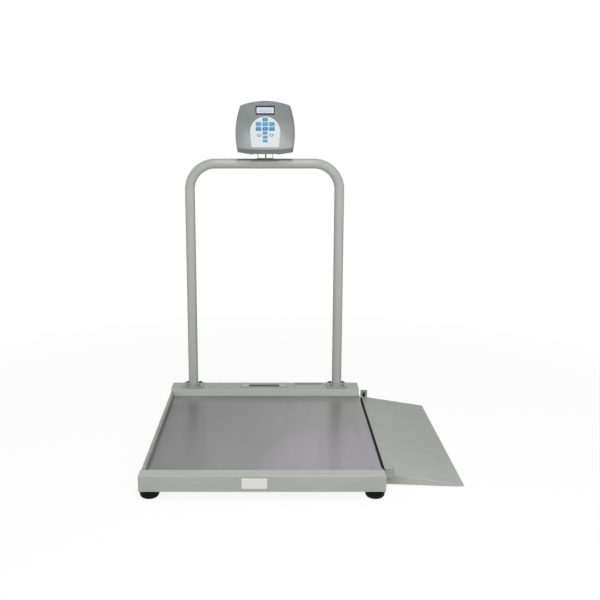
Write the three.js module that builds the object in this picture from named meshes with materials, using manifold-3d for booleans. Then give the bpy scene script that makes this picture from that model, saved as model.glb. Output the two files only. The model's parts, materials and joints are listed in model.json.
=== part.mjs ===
// A wheelchair scale: a low weighing platform on four levelling feet, a ramp hinged to its right
// side, a bent-tube handrail at the back and a readout head that tilts on the handrail.
// Lengths are millimetres. X runs across the platform towards the ramp, Y from the front edge to
// the back and Z up. The origin is on the floor, under the middle of the whole footprint.

import * as THREE from "three";
import { mergeVertices } from "three/addons/utils/BufferGeometryUtils.js";
import Module from "manifold-3d";

const wasm = await Module();
wasm.setup();

// Shared sizes

const seat = 0.3; // gap left where one piece rests on its neighbour
const overrun = 20; // how far a cutter runs past what it cuts
const sheet = 3; // folded steel of the base and the ramp
const weldTolerance = 0.0001;
const samePoint = 0.001; // points of an outline nearer than this are one
const roundSteps = 2; // half the chords in the round of a bend or a fillet
const smallRoundSteps = 1;
const fullRoundShare = 0.99; // two rounds that share an end, so that they don't quite meet
const rodSides = 24;
const smallSides = 12;
const hexSides = 6;

// Platform

const platformWidth = 762;
const platformDepth = 943.5;
const baseClear = 28; // floor to the underside of the base
const railDepth = 50.8;
const railTop = 81.5;
const railEdge = 6;
const railEndRound = 4;
const lowerEdge = 1.5;
const housingDepth = 90;
const housingTop = 93;
const housingEdge = 3;
const deckTop = 64;
const matThick = 2;
const deckPlateThick = 3;
const sideInset = 3; // the sides and the housing stand back from the ends of the rail by this much
const guardWidth = 12;
const sideFlange = 29;
const sideBend = 2;
const stringerSpacing = 250;
const stringerCrown = 60;
const stringerBrim = 18;
const stringerSheet = 2.5;

// Load cells and feet

const cellLength = 130;
const cellWidth = 31.8;
const cellHeight = 31.8;
const cellTop = 69;
const cellEnd = 15; // end of the cell to the middle of its foot
const cellPadLength = 50;
const cellWindowRadius = 9;
const cellWindowPitch = 24;
const cellSlit = 5;
const footSetback = 31.5; // front edge to the middle of a front foot and its cell
const footSideInset = 30.5;
const footRadius = 30.5;
const footHeight = 24;
const footRound = 8;
const footRoundShare = 0.3; // how far the middle of the round lies inside its corner
const footShoulder = 2.5;
const studRadius = 6;
const studHexRadius = 11;
const studHexHeight = 6;
const studReach = 14; // how far the stud enters the cell's bore
const studClear = 0.4;

// Junction box

const boxWidth = 90;
const boxDepth = 70;
const boxHeight = 24;
const boxWall = 2.5;
const boxLid = 3;
const boxRound = 5;

// Handrail

const railTube = 38.1;
const tubeWall = 2;
const postInset = 90.2; // side of the platform to the middle of a post
const handrailHeight = 987.5; // floor to the tube's centre line
const handrailBend = 100;
const bendSteps = 8;
const flangeWidth = 80;
const flangeDepth = 70;
const flangeThick = 6;
const flangeRound = 8;
const collarHeight = 8;
const collarWall = 3;
const boltSpacing = 50;
const boltRadius = 4;
const boltHeadRadius = 7;
const boltHeadHeight = 5;
const boltReach = 12;
const boltClear = 0.5;
const boltDomeShares = [0.45, 0.65]; // height and radius where the head's dome breaks
const boltSocketShare = 0.7; // socket across the bolt's shank
const wireHole = 12; // radius of the hole under the left post

// Ramp

const rampGap = 10; // side of the platform to the edge of the ramp
const rampRun = 254;
const rampTop = 43; // height of the ramp's surface at the hinge edge
const rampTipHeight = 3;
const rampSkirtClear = 9; // floor to the skirt at the hinge edge
const rampFlat = 31; // length of the skirt that stands on the floor at the tip
const rampFront = 106; // front of the platform to the front of the ramp
const rampBackSetback = 29.5; // back of the platform to the back of the ramp
const rampEdgeRound = 2.4;
const earWidth = 27.5;
const frontEarTop = 62.5;
const rearEarTop = 70;
const earRound = 1.5;
const pinHeight = 56;
const pinRadius = 4.6;
const pinClear = 0.08;
const slotDrop = 10; // how far the ear can lift on its pin
const pinHeadRadius = 5.8;
const pinHead = 3;
const lugThick = 5;
const lugRise = 6.5; // hinge pin to the top of a lug
const lugReach = 8; // hinge pin to the end of a lug
const lugNeck = 10; // height of a lug where it crosses to the ramp
const bracketLength = 46;
const bracketThick = 3;
const bracketDrop = 0.5; // deck surface to the top of a hinge bracket
const tabReach = 10;
const tabWidth = 14;
const tabSetback = 71; // back of the ramp to the tab
const ribSpan = 170;

// Readout head: heights are from its tilt pin, depths from the middle of its face

const headDepth = 66;
const headBottom = -11.4;
const headTop = 189.5;
const headCorner = 172.3;
const headWidest = 83;
const headFoot = -2.8;
const headTopHalf = 94.5;
const headWideHalf = 113;
const headFootHalf = 105.5;
const headRecessHalf = 51;
const headRecess = 2;
const headCornerRound = 7; // upper corners only
const headShift = 3; // middle of the handrail to the middle of the head and its bracket
const headEdge = 6;
const headEdgeDepth = 11;
const headEdgeSteps = 3;
const headCrown = 5; // how far the middle of the face stands in front of its sides
const headWall = 3;
const headSeam = 27; // face to the seam between the two shells
const pinDepth = 40.5; // face to the tilt pin
const headSteps = 8; // chords in each bow of the outline, the crown and the chin
const chinHeight = 19.5;
const chinRise = 8;
const chinDepth = 20;
const windowWidth = 72;
const windowHeight = 34;
const windowBase = 137.5;
const windowThick = 3;
const windowRound = 2;
const moduleDepth = 7;
const moduleMargin = 4;
const padRadius = 57.5;
const padCentre = 74;
const padFootHalf = 52.4;
const padFoot = 17;
const padFootRound = 3;
const padThick = 0.9;
const padProud = 0.3;
const boardBack = 17; // face to the front of the circuit board
const boardThick = 1.6;
const boardWidth = 150;
const boardHeight = 118;
const boardBase = 20;
const postRadius = 4;
const boardPostInset = 8;

// Keys: heights are from the tilt pin

const keyColumn = 25.5;
const keyWidth = 19;
const keyHeight = 12.5;
const smallKeyWidth = 15.5;
const smallKeyHeight = 9;
const ovalKeyWidth = 15;
const ovalKeyHeight = 10;
const ovalRoundShare = 0.45;
const keyRound = 2;
const keyProud = 1;
const keyDepth = 6;
const keyClear = 0.3;
const onKeyHeight = 120.5;
const upperRowHeight = 103.4;
const lowerRowHeight = 85.2;
const upperSmallHeight = 69.9;
const middleSmallHeight = 54.6;
const lowerSmallHeight = 39.7;
const ovalColumn = 23.5;
const ovalHeight = 61.7;

// Tilting bracket and cable

const pivotRise = 46.5; // middle of the handrail to the tilt pin
const earSpacing = 57;
const bracketEar = 2.5;
const bracketEarHalf = 8;
const saddleSheet = 2.5;
const saddleLength = 66;
const saddleAngle = 36;
const tiltPinRadius = 3;
const tiltPinClear = 0.1;
const bossLength = 7;
const bossRadius = 8;
const bossClear = 0.4;
const tiltRoom = 4; // room beside a bracket ear for the head's tilt
const cableRadius = 2.5;
const cableSides = 8;
const cableOffset = 1.5; // middle of the head to the cable
const cableSetback = 7; // tilt pin to the cable behind it
const cableTurn = 10;
const cableRise = 4; // tilt pin to the cable's end in the head
const cableRunSetback = 27.5; // middle of the handrail to the cable's run in the housing
const cableDrop = 13; // top of the housing to the cable's run

// Places worked out from the sizes above

const half = platformWidth / 2;
const housingFront = platformDepth - housingDepth;
const postLine = platformDepth - housingDepth / 2;
const postSpacing = platformWidth - 2 * postInset;
const deckFront = railDepth + seat;
const deckBack = housingFront - seat;
const sideOuter = half - sideInset;
const plateTop = deckTop - matThick - seat;
const plateBottom = plateTop - deckPlateThick;
const ledgeTop = plateBottom - seat;
const footX = half - footSideInset;
const cellBottom = cellTop - cellHeight;
const cellOuter = footX + cellEnd;
const rampEdge = half + rampGap;
const rampTip = rampEdge + rampRun;
const rampBack = platformDepth - rampBackSetback;
const rampSlope = (rampTop - rampTipHeight) / rampRun;
const cableLine = postLine + cableSetback;
const pinX = rampEdge + earWidth / 2;
const pivotHeight = handrailHeight + pivotRise;
const cableRun = postLine + cableRunSetback;
const cableX = headShift + cableOffset;

// Solids: cutting and joining

function solid(geometry) {
  const bare = geometry.index ? geometry.toNonIndexed() : geometry.clone();
  bare.deleteAttribute("normal");
  bare.deleteAttribute("uv");
  const merged = mergeVertices(bare, weldTolerance);
  const vertProperties = merged.attributes.position.array;
  const triVerts = new Uint32Array(merged.index.array);
  return new wasm.Manifold(new wasm.Mesh({ numProp: 3, vertProperties, triVerts }));
}

function surface(made) {
  const mesh = made.getMesh();
  const geometry = new THREE.BufferGeometry();
  geometry.setAttribute("position", new THREE.BufferAttribute(mesh.vertProperties, 3));
  geometry.setIndex(new THREE.BufferAttribute(mesh.triVerts, 1));
  geometry.computeVertexNormals();
  return geometry;
}

function join(...solids) {
  return solids.reduce((whole, next) => whole.add(next));
}

function cut(whole, ...cutters) {
  return cutters.reduce((left, cutter) => left.subtract(cutter), whole);
}

// Outlines and extrusions

// Draws a closed outline through corners [u, v, radius], rounding those that have a radius.
function outline(corners) {
  const shape = new THREE.Shape();
  corners.forEach(([u, v, radius = 0], index) => {
    const here = new THREE.Vector2(u, v);
    const last = corners.at(index - 1);
    const next = corners[(index + 1) % corners.length];
    const draw = index ? "lineTo" : "moveTo";
    if (!radius) {
      shape[draw](u, v);
      return;
    }
    const back = new THREE.Vector2(last[0], last[1]).sub(here).normalize();
    const ahead = new THREE.Vector2(next[0], next[1]).sub(here).normalize();
    const halfAngle = Math.acos(back.dot(ahead)) / 2;
    const clockwise = back.cross(ahead) > 0;
    const start = back.clone().multiplyScalar(radius / Math.tan(halfAngle)).add(here);
    const end = ahead.clone().multiplyScalar(radius / Math.tan(halfAngle)).add(here);
    const inward = back.clone().add(ahead).normalize();
    const centre = inward.multiplyScalar(radius / Math.sin(halfAngle)).add(here);
    const from = Math.atan2(start.y - centre.y, start.x - centre.x);
    const to = Math.atan2(end.y - centre.y, end.x - centre.x);
    shape[draw](start.x, start.y);
    shape.absarc(centre.x, centre.y, radius, from, to, clockwise);
  });
  return shape;
}

function rectangle(left, bottom, right, top, radius = 0) {
  return outline([
    [left, bottom, radius],
    [right, bottom, radius],
    [right, top, radius],
    [left, top, radius],
  ]);
}

function disc(u, v, radius, sides = rodSides) {
  const corner = (step) => (2 * Math.PI * step) / sides;
  const points = Array.from({ length: sides }, (_, step) => [
    u + radius * Math.cos(corner(step)),
    v + radius * Math.sin(corner(step)),
  ]);
  return outline(points);
}

// A slot with round ends, standing upright.
function uprightSlot(u, low, high, radius) {
  return outline([
    [u - radius, low - radius, radius * fullRoundShare],
    [u + radius, low - radius, radius * fullRoundShare],
    [u + radius, high + radius, radius * fullRoundShare],
    [u - radius, high + radius, radius * fullRoundShare],
  ]);
}

function distinct(points) {
  return points.filter((point, index) => point.distanceTo(points.at(index - 1)) > samePoint);
}

function extruded(shape, length, bevel = {}, steps = roundSteps) {
  const traced = new THREE.Shape(distinct(shape.getPoints(steps)));
  traced.holes = shape.holes.map((hole) => new THREE.Path(distinct(hole.getPoints(steps))));
  const settings = { depth: length, bevelEnabled: false, steps: 1, ...bevel };
  return new THREE.ExtrudeGeometry(traced, settings);
}

// The shape is drawn in X and Y.
function alongZ(shape, low, high) {
  return solid(extruded(shape, high - low).translate(0, 0, low));
}

const turnToY = new THREE.Matrix4().set(1, 0, 0, 0, 0, 0, -1, 0, 0, 1, 0, 0, 0, 0, 0, 1);
const turnToX = new THREE.Matrix4().set(0, 0, 1, 0, 1, 0, 0, 0, 0, 1, 0, 0, 0, 0, 0, 1);

// The shape is drawn in X and Z.
function alongY(shape, low, high, bevel = {}, steps = roundSteps) {
  return solid(extruded(shape, high - low, bevel, steps).applyMatrix4(turnToY).translate(0, high, 0));
}

// The shape is drawn in Y and Z.
function alongX(shape, low, high) {
  return solid(extruded(shape, high - low).applyMatrix4(turnToX).translate(low, 0, 0));
}

function block(x, y, z) {
  const size = [x, y, z].map(([low, high]) => high - low);
  const middle = [x, y, z].map(([low, high]) => (low + high) / 2);
  return solid(new THREE.BoxGeometry(...size).translate(...middle));
}

// A bore whose flats clear a round rod of the given radius.
function boreRadius(radius, clearance, sides = rodSides) {
  return (radius + clearance) / Math.cos(Math.PI / sides);
}

// Bent runs

// A run of straight lines joined by round bends. Only the ends of each straight and the steps of
// each bend are stations, so a long straight costs no more than a short one.
class BentRun extends THREE.Curve {
  constructor(corners, stepsPerBend) {
    super();
    this.stations = [];
    corners.forEach(({ at, radius }, index) => {
      const last = corners[index - 1];
      const next = corners[index + 1];
      const into = last && at.clone().sub(last.at).normalize();
      const out = next && next.at.clone().sub(at).normalize();
      if (!into || !out) {
        this.stations.push({ place: at, heading: into || out });
        return;
      }
      const turn = into.angleTo(out);
      const reach = radius * Math.tan(turn / 2);
      const start = at.clone().addScaledVector(into, -reach);
      const side = out.clone().addScaledVector(into, -into.dot(out)).normalize();
      for (let step = 0; step <= stepsPerBend; step += 1) {
        const angle = (turn * step) / stepsPerBend;
        const place = start
          .clone()
          .addScaledVector(into, radius * Math.sin(angle))
          .addScaledVector(side, radius * (1 - Math.cos(angle)));
        const heading = into.clone().multiplyScalar(Math.cos(angle));
        this.stations.push({ place, heading: heading.addScaledVector(side, Math.sin(angle)) });
      }
    });
  }

  station(share) {
    return this.stations[Math.round(share * (this.stations.length - 1))];
  }

  getPointAt(share) {
    return this.station(share).place.clone();
  }

  getTangentAt(share) {
    return this.station(share).heading.clone();
  }
}

function swept(section, run) {
  const steps = run.stations.length - 1;
  return solid(new THREE.ExtrudeGeometry(section, { steps, extrudePath: run, bevelEnabled: false }));
}

function ring(outer, inner, sides) {
  const shape = new THREE.Shape(disc(0, 0, outer, sides).getPoints());
  const hole = disc(0, 0, inner, sides / 2).getPoints();
  shape.holes.push(new THREE.Path(hole));
  return shape;
}

// Finishes

const finishes = {
  paint: { color: 0xa7a9a3, roughness: 0.5, metalness: 0.1 },
  mat: { color: 0x8f8e92, roughness: 0.35, metalness: 0.2 },
  steel: { color: 0x9a9c9c, roughness: 0.35, metalness: 0.9 },
  darkSteel: { color: 0x3b3c38, roughness: 0.45, metalness: 0.7 },
  rubber: { color: 0x161712, roughness: 0.8, metalness: 0 },
  shell: { color: 0x9aa2a1, roughness: 0.45, metalness: 0 },
  lens: { color: 0x232a66, roughness: 0.15, metalness: 0 },
  screen: { color: 0xd7e2ea, roughness: 0.3, metalness: 0 },
  film: { color: 0xe1ebf0, roughness: 0.4, metalness: 0 },
  key: { color: 0x4f8caa, roughness: 0.45, metalness: 0 },
  board: { color: 0x2d5a3a, roughness: 0.5, metalness: 0.1 },
};

const platform = new THREE.Group();
platform.position.set((half - rampTip) / 2, -platformDepth / 2, 0);

function piece(name, finish, made) {
  const mesh = new THREE.Mesh(surface(made), new THREE.MeshStandardMaterial(finishes[finish]));
  mesh.name = name;
  platform.add(mesh);
}

// A piece of the readout head, drawn from the tilt pin and the face.
function headPiece(name, finish, made) {
  piece(name, finish, made.translate([headShift, postLine - pinDepth, pivotHeight]));
}

// The four corners of the platform, each with the sign of its side in X.
const corners = [
  { name: "front_left", side: -1, line: footSetback },
  { name: "front_right", side: 1, line: footSetback },
  { name: "rear_left", side: -1, line: postLine },
  { name: "rear_right", side: 1, line: postLine },
];

function sorted(a, b) {
  return a < b ? [a, b] : [b, a];
}

// Front rail and rear housing

// The pad welded under the roof of a rail, which a load cell hangs from.
function cellPad(side, line, roof) {
  const inner = cellOuter - cellLength;
  const x = sorted(side * inner, side * (inner + cellPadLength));
  return block(x, [line - cellWidth / 2, line + cellWidth / 2], [cellTop + seat, roof]);
}

function frontRail() {
  const section = outline([
    [0, baseClear, lowerEdge],
    [railDepth, baseClear, lowerEdge],
    [railDepth, railTop, railEdge],
    [0, railTop, railEdge],
  ]);
  const bar = alongX(section, -half, half);
  const view = rectangle(-half, baseClear, half, railTop, railEndRound);
  const ends = alongY(view, -overrun, railDepth + overrun);
  const roof = railTop - sheet;
  const room = block([sheet - half, half - sheet], [sheet, railDepth - sheet], [-overrun, roof]);
  const pads = [-1, 1].map((side) => cellPad(side, footSetback, roof));
  return join(cut(bar.intersect(ends), room), ...pads);
}

function boltPlaces(side) {
  const places = [];
  for (const across of [-1, 1]) {
    for (const along of [-1, 1]) {
      places.push([
        (side * postSpacing) / 2 + (across * boltSpacing) / 2,
        postLine + (along * boltSpacing) / 2,
      ]);
    }
  }
  return places;
}

function rearHousing() {
  const section = outline([
    [housingFront, baseClear, lowerEdge],
    [platformDepth, baseClear, lowerEdge],
    [platformDepth, housingTop, housingEdge],
    [housingFront, housingTop, housingEdge],
  ]);
  const outer = alongX(section, -sideOuter, sideOuter);
  const roof = housingTop - sheet;
  const inside = [housingFront + sheet, platformDepth - sheet];
  const room = block([sheet - sideOuter, sideOuter - sheet], inside, [-overrun, roof]);
  const holes = [...boltPlaces(-1), ...boltPlaces(1)].map(([x, y]) =>
    alongZ(disc(x, y, boltRadius + boltClear, smallSides), roof - overrun, housingTop + overrun),
  );
  const wire = alongZ(disc(-postSpacing / 2, postLine, wireHole), roof - overrun, housingTop + overrun);
  const pads = [-1, 1].map((side) => cellPad(side, postLine, roof));
  return cut(join(cut(outer, room), ...pads), ...holes, wire);
}

// Long sides, deck and stringers

function guardSection() {
  const inner = sideOuter - guardWidth;
  const web = sideOuter - sheet;
  const edge = sideOuter - sheet - sideFlange;
  return outline([
    [-sideOuter, baseClear, sideBend],
    [-edge, baseClear],
    [-edge, baseClear + sheet],
    [-web, baseClear + sheet],
    [-web, ledgeTop - sheet],
    [-edge, ledgeTop - sheet],
    [-edge, ledgeTop],
    [-web, ledgeTop],
    [-web, railTop - sheet],
    [-inner - sheet, railTop - sheet],
    [-inner - sheet, plateTop + seat],
    [-inner, plateTop + seat],
    [-inner, railTop, sideBend],
    [-sideOuter, railTop, sideBend],
  ]);
}

function channelSection() {
  const web = sideOuter - sheet;
  const edge = web - sideFlange;
  return outline([
    [edge, baseClear],
    [sideOuter, baseClear, sideBend],
    [sideOuter, ledgeTop, sideBend],
    [edge, ledgeTop],
    [edge, ledgeTop - sheet],
    [web, ledgeTop - sheet],
    [web, baseClear + sheet],
    [edge, baseClear + sheet],
  ]);
}

// A hat section that hangs under the deck between the rail and the housing.
function stringerSection(middle) {
  const crown = stringerCrown / 2;
  const brim = crown + stringerBrim;
  const top = plateBottom - seat;
  const foot = baseClear + seat;
  const wall = crown - stringerSheet;
  return outline([
    [middle - brim, foot],
    [middle - wall, foot],
    [middle - wall, top - stringerSheet],
    [middle + wall, top - stringerSheet],
    [middle + wall, foot],
    [middle + brim, foot],
    [middle + brim, foot + stringerSheet],
    [middle + crown, foot + stringerSheet],
    [middle + crown, top, sideBend],
    [middle - crown, top, sideBend],
    [middle - crown, foot + stringerSheet],
    [middle - brim, foot + stringerSheet],
  ]);
}

function deckPlate() {
  const x = [seat + sheet - sideOuter, sideOuter];
  return block(x, [deckFront, deckBack], [plateBottom, plateTop]);
}

function deckMat() {
  const x = [guardWidth + seat - sideOuter, sideOuter];
  return block(x, [deckFront, deckBack], [plateTop + seat, deckTop]);
}

// Load cells and feet

// A bending-beam cell: a square bar with two bores joined by a slit, and an upright bore at its
// free end for the foot's stud.
function loadCell(side, line) {
  const inner = cellOuter - cellLength;
  const x = sorted(side * inner, side * cellOuter);
  const bar = block(x, [line - cellWidth / 2, line + cellWidth / 2], [cellBottom, cellTop]);
  const middle = (x[0] + x[1]) / 2;
  const height = (cellTop + cellBottom) / 2;
  const [front, back] = [line - cellWidth / 2 - overrun, line + cellWidth / 2 + overrun];
  const windows = [-1, 1].map((end) =>
    alongY(disc(middle + (end * cellWindowPitch) / 2, height, cellWindowRadius), front, back),
  );
  const reach = cellWindowPitch / 2;
  const slit = block(
    [middle - reach, middle + reach],
    [front, back],
    [height - cellSlit / 2, height + cellSlit / 2],
  );
  const hole = disc(side * footX, line, boreRadius(studRadius, studClear));
  const bore = alongZ(hole, cellBottom - overrun, cellTop + overrun);
  return cut(bar, ...windows, slit, bore);
}

function foot(side, line) {
  const profile = [
    [0, 0],
    [footRadius - footRound, 0],
    [footRadius - footRound * footRoundShare, footRound * footRoundShare],
    [footRadius, footRound],
    [footRadius, footHeight - footShoulder],
    [footRadius - footShoulder, footHeight],
    [0, footHeight],
  ].map(([radius, height]) => new THREE.Vector2(radius, height));
  const pad = solid(new THREE.LatheGeometry(profile, rodSides));
  const stand = pad.rotate([90, 0, 0]).translate([side * footX, line, 0]);
  const hexBase = footHeight - seat;
  const hexShape = disc(side * footX, line, studHexRadius, hexSides);
  const hex = alongZ(hexShape, hexBase, footHeight + studHexHeight);
  const stud = alongZ(disc(side * footX, line, studRadius), hexBase, cellBottom + studReach);
  return join(stand, hex, stud);
}

// Junction box

const boxRoof = housingTop - sheet - seat;
const boxFront = postLine - boxDepth / 2;
const boxBack = postLine + boxDepth / 2;

function junctionBox() {
  const low = boxRoof - boxHeight;
  const outer = alongZ(rectangle(-boxWidth / 2, boxFront, boxWidth / 2, boxBack, boxRound), low, boxRoof);
  const room = block(
    [boxWall - boxWidth / 2, boxWidth / 2 - boxWall],
    [boxFront + boxWall, boxBack - boxWall],
    [low - overrun, boxRoof - boxWall],
  );
  const hole = disc(cableRun, housingTop - cableDrop, cableRadius + seat);
  const entry = alongX(hole, -boxWidth / 2 - overrun, 0);
  return cut(outer, room, entry);
}

function junctionBoxLid() {
  const high = boxRoof - boxHeight - seat;
  return alongZ(rectangle(-boxWidth / 2, boxFront, boxWidth / 2, boxBack, boxRound), high - boxLid, high);
}

// Handrail

const tubeRadius = railTube / 2;
const postFoot = housingTop + seat;

function handrailRun(foot) {
  const x = postSpacing / 2;
  return new BentRun(
    [
      { at: new THREE.Vector3(-x, postLine, foot) },
      { at: new THREE.Vector3(-x, postLine, handrailHeight), radius: handrailBend },
      { at: new THREE.Vector3(x, postLine, handrailHeight), radius: handrailBend },
      { at: new THREE.Vector3(x, postLine, foot) },
    ],
    bendSteps,
  );
}

function handrailTube() {
  const tube = swept(ring(tubeRadius, tubeRadius - tubeWall, rodSides), handrailRun(postFoot));
  const hole = disc(cableX, cableLine, boreRadius(cableRadius, seat));
  return cut(tube, alongZ(hole, handrailHeight, handrailHeight + tubeRadius + overrun));
}

function handrailFlange(side) {
  const x = (side * postSpacing) / 2;
  const plateShape = rectangle(
    x - flangeWidth / 2,
    postLine - flangeDepth / 2,
    x + flangeWidth / 2,
    postLine + flangeDepth / 2,
    flangeRound,
  );
  const low = housingTop + seat;
  const plate = alongZ(plateShape, low, low + flangeThick);
  const collarRadius = tubeRadius + collarWall;
  const collar = alongZ(disc(x, postLine, collarRadius), low, low + flangeThick + collarHeight);
  const through = [low - overrun, low + flangeThick + overrun];
  const bore = alongZ(disc(x, postLine, boreRadius(tubeRadius, seat)), ...through);
  const holes = boltPlaces(side).map(([across, along]) =>
    alongZ(disc(across, along, boltRadius + boltClear, smallSides), ...through),
  );
  return cut(join(plate, collar), bore, ...holes);
}

// A button-head bolt with a hexagon socket.
function flangeBolt(x, y) {
  const top = housingTop + seat + flangeThick + seat;
  const profile = [
    [0, -boltReach],
    [boltRadius, -boltReach],
    [boltRadius, 0],
    [boltHeadRadius, 0],
    [boltHeadRadius, boltHeadHeight * boltDomeShares[0]],
    [boltHeadRadius * boltDomeShares[1], boltHeadHeight],
    [0, boltHeadHeight],
  ].map(([radius, height]) => new THREE.Vector2(radius, height));
  const turned = solid(new THREE.LatheGeometry(profile, smallSides)).rotate([90, 0, 0]);
  const socket = disc(x, y, boltRadius * boltSocketShare, hexSides);
  return cut(turned.translate([x, y, top]), alongZ(socket, top + boltHeadHeight / 2, top + overrun));
}

// Ramp

// Height of the ramp's surface, or of a line below it, at a place across the platform.
function rampSurface(x, below = 0) {
  return rampTop - (x - rampEdge) * rampSlope - below;
}

function rampPlate() {
  const below = sheet * Math.hypot(1, rampSlope);
  const foot = rampTip - (rampTipHeight - below < 0 ? 0 : rampTipHeight - below) / rampSlope;
  const section = outline([
    [rampEdge, rampSurface(rampEdge, below)],
    [foot, 0],
    [rampTip, 0],
    [rampTip, rampTipHeight],
    [rampEdge, rampTop, rampEdgeRound],
  ]);
  return alongY(section, rampFront + sheet + seat, rampBack - sheet - seat);
}

function rampBackFlange() {
  const below = sheet * Math.hypot(1, rampSlope) + seat;
  const section = outline([
    [rampEdge, rampSkirtClear],
    [rampEdge + sheet, rampSkirtClear],
    [rampEdge + sheet, rampSurface(rampEdge + sheet, below)],
    [rampEdge, rampSurface(rampEdge, below)],
  ]);
  return alongY(section, rampFront + sheet + seat, rampBack - sheet - seat);
}

// The triangular cheek at one end of the ramp, with the ear that hangs on the hinge pin.
function rampSide(front, earTop) {
  const earEdge = rampEdge + earWidth;
  const cheek = outline([
    [rampEdge, rampSkirtClear],
    [rampTip - rampFlat, 0],
    [rampTip, 0],
    [rampTip, rampTipHeight],
    [earEdge, rampSurface(earEdge)],
    [earEdge, earTop, earRound],
    [rampEdge, earTop, earRound],
  ]);
  const slot = uprightSlot(pinX, pinHeight - slotDrop, pinHeight, boreRadius(pinRadius, pinClear));
  return cut(alongY(cheek, front, front + sheet), alongY(slot, front - overrun, front + sheet + overrun));
}

function rampRib() {
  const below = sheet * Math.hypot(1, rampSlope) + seat;
  const start = rampEdge + sheet + seat;
  const end = start + ribSpan;
  const middle = (rampFront + rampBack) / 2;
  const section = outline([
    [start, rampSkirtClear],
    [end, rampSkirtClear],
    [end, rampSurface(end, below)],
    [start, rampSurface(start, below)],
  ]);
  return alongY(section, middle - sheet / 2, middle + sheet / 2);
}

// Hinge of the ramp

// An angle bracket on the side of the platform, from front to back. Its lug crosses low to the
// ramp and stands just outside an ear.
function hingeBracket(ear, toward, front, back) {
  const side = sideOuter + seat;
  const foot = baseClear + sheet;
  const top = pinHeight + lugRise;
  const lugShape = outline([
    [side, foot],
    [pinX + lugReach, foot, bracketThick],
    [pinX + lugReach, top, bracketThick],
    [rampEdge + seat, top, bracketThick],
    [rampEdge + seat, foot + lugNeck],
    [side, foot + lugNeck],
  ]);
  const lug = alongY(lugShape, ...sorted(ear + toward * seat, ear + toward * (seat + lugThick)));
  const wing = block([side, side + bracketThick], [front, back], [foot, deckTop - bracketDrop]);
  const bore = disc(pinX, pinHeight, boreRadius(pinRadius, seat));
  return cut(join(lug, wing), alongY(bore, ear - overrun, ear + overrun));
}

function frontHingeBracket() {
  const back = rampFront - seat;
  return hingeBracket(rampFront, -1, back - bracketLength, back);
}

// The rear bracket also carries a small tab that stands beside the ramp.
function rearHingeBracket() {
  const tabFront = rampBack - tabSetback - tabWidth / 2;
  const side = sideOuter + seat;
  const top = deckTop - bracketDrop;
  const tab = block([side, side + tabReach], [tabFront, tabFront + tabWidth], [top - bracketThick, top]);
  return join(hingeBracket(rampBack, 1, tabFront, rampBack + seat + lugThick), tab);
}

// A pin through the lug and the ear, with its head inside the ear.
function hingePin(ear, toward) {
  const headFace = ear - toward * (sheet + seat);
  const headEnds = sorted(headFace, headFace - toward * pinHead);
  const shankEnds = sorted(headFace, ear + toward * (seat + lugThick + sheet));
  const head = alongY(disc(pinX, pinHeight, pinHeadRadius), ...headEnds);
  return join(head, alongY(disc(pinX, pinHeight, pinRadius), ...shankEnds));
}

// Readout head

// Points of a shallow bow from one point to another, without the last point.
function bow([u0, v0], [u1, v1], rise, steps) {
  const length = Math.hypot(u1 - u0, v1 - v0);
  const normal = [(v1 - v0) / length, (u0 - u1) / length];
  return Array.from({ length: steps }, (_, step) => {
    const share = step / steps;
    const swell = 4 * rise * share * (1 - share);
    return [u0 + (u1 - u0) * share + normal[0] * swell, v0 + (v1 - v0) * share + normal[1] * swell];
  });
}

// The head's outline from the front, drawn in by an inset on every side.
function headOutline(inset, steps) {
  const foot = [headFootHalf - inset, headFoot + inset];
  const corner = [headTopHalf - inset, headCorner - inset];
  const low = [headRecessHalf, headBottom + inset];
  const share = (headWidest - headFoot) / (headCorner - headFoot);
  const chordHalf = headFootHalf + (headTopHalf - headFootHalf) * share;
  const sideRise = headWideHalf - chordHalf;
  const topRise = headTop - headCorner;
  const right = bow(foot, corner, sideRise, steps);
  const top = bow(corner, [-corner[0], corner[1]], topRise, steps);
  const left = bow([-corner[0], corner[1]], [-foot[0], foot[1]], sideRise, steps);
  for (const run of [top, left]) run[0].push(headCornerRound - inset / 2);
  return outline([...right, ...top, ...left, [-foot[0], foot[1]], [-low[0], low[1]], low]);
}

// The hollow under the head that clears the bracket's ears and the cable.
function headHollow(inset) {
  const top = headBottom + headRecess + inset;
  const reach = headRecessHalf + inset;
  const shape = outline([
    [-reach - overrun, headBottom - overrun],
    [reach + overrun, headBottom - overrun],
    [reach - headRecess, top],
    [headRecess - reach, top],
  ]);
  return alongY(shape, -overrun, headDepth + overrun);
}

// The space behind the head's crowned face, moved back by a depth.
function behindFace(back, steps) {
  const reach = headWideHalf + overrun;
  const curve = Array.from({ length: steps + 1 }, (_, step) => {
    const x = reach * (1 - (2 * step) / steps);
    return [x, back + headCrown * (x / headWideHalf) ** 2];
  });
  const plan = outline([...curve, [-reach, headDepth + overrun], [reach, headDepth + overrun]]);
  return alongZ(plan, headBottom - overrun, headTop + overrun);
}

// The space above the head's sloping chin, whose edge dips in the middle of the face.
function aboveChin(inset, steps) {
  const reach = headWideHalf + overrun;
  const curve = Array.from({ length: steps + 1 }, (_, step) => {
    const x = reach * (1 - (2 * step) / steps);
    return [x, headBottom + chinHeight + inset + chinRise * (x / headFootHalf) ** 2];
  });
  const view = outline([...curve, [-reach, headTop + overrun * 2], [reach, headTop + overrun * 2]]);
  const fall = (chinHeight + chinRise) / chinDepth;
  const lean = new THREE.Matrix4().makeShear(0, 0, 0, -fall, 0, 0);
  const prism = extruded(view, headDepth + overrun).applyMatrix4(turnToY).translate(0, headDepth, 0);
  return solid(prism.applyMatrix4(lean));
}

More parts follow.
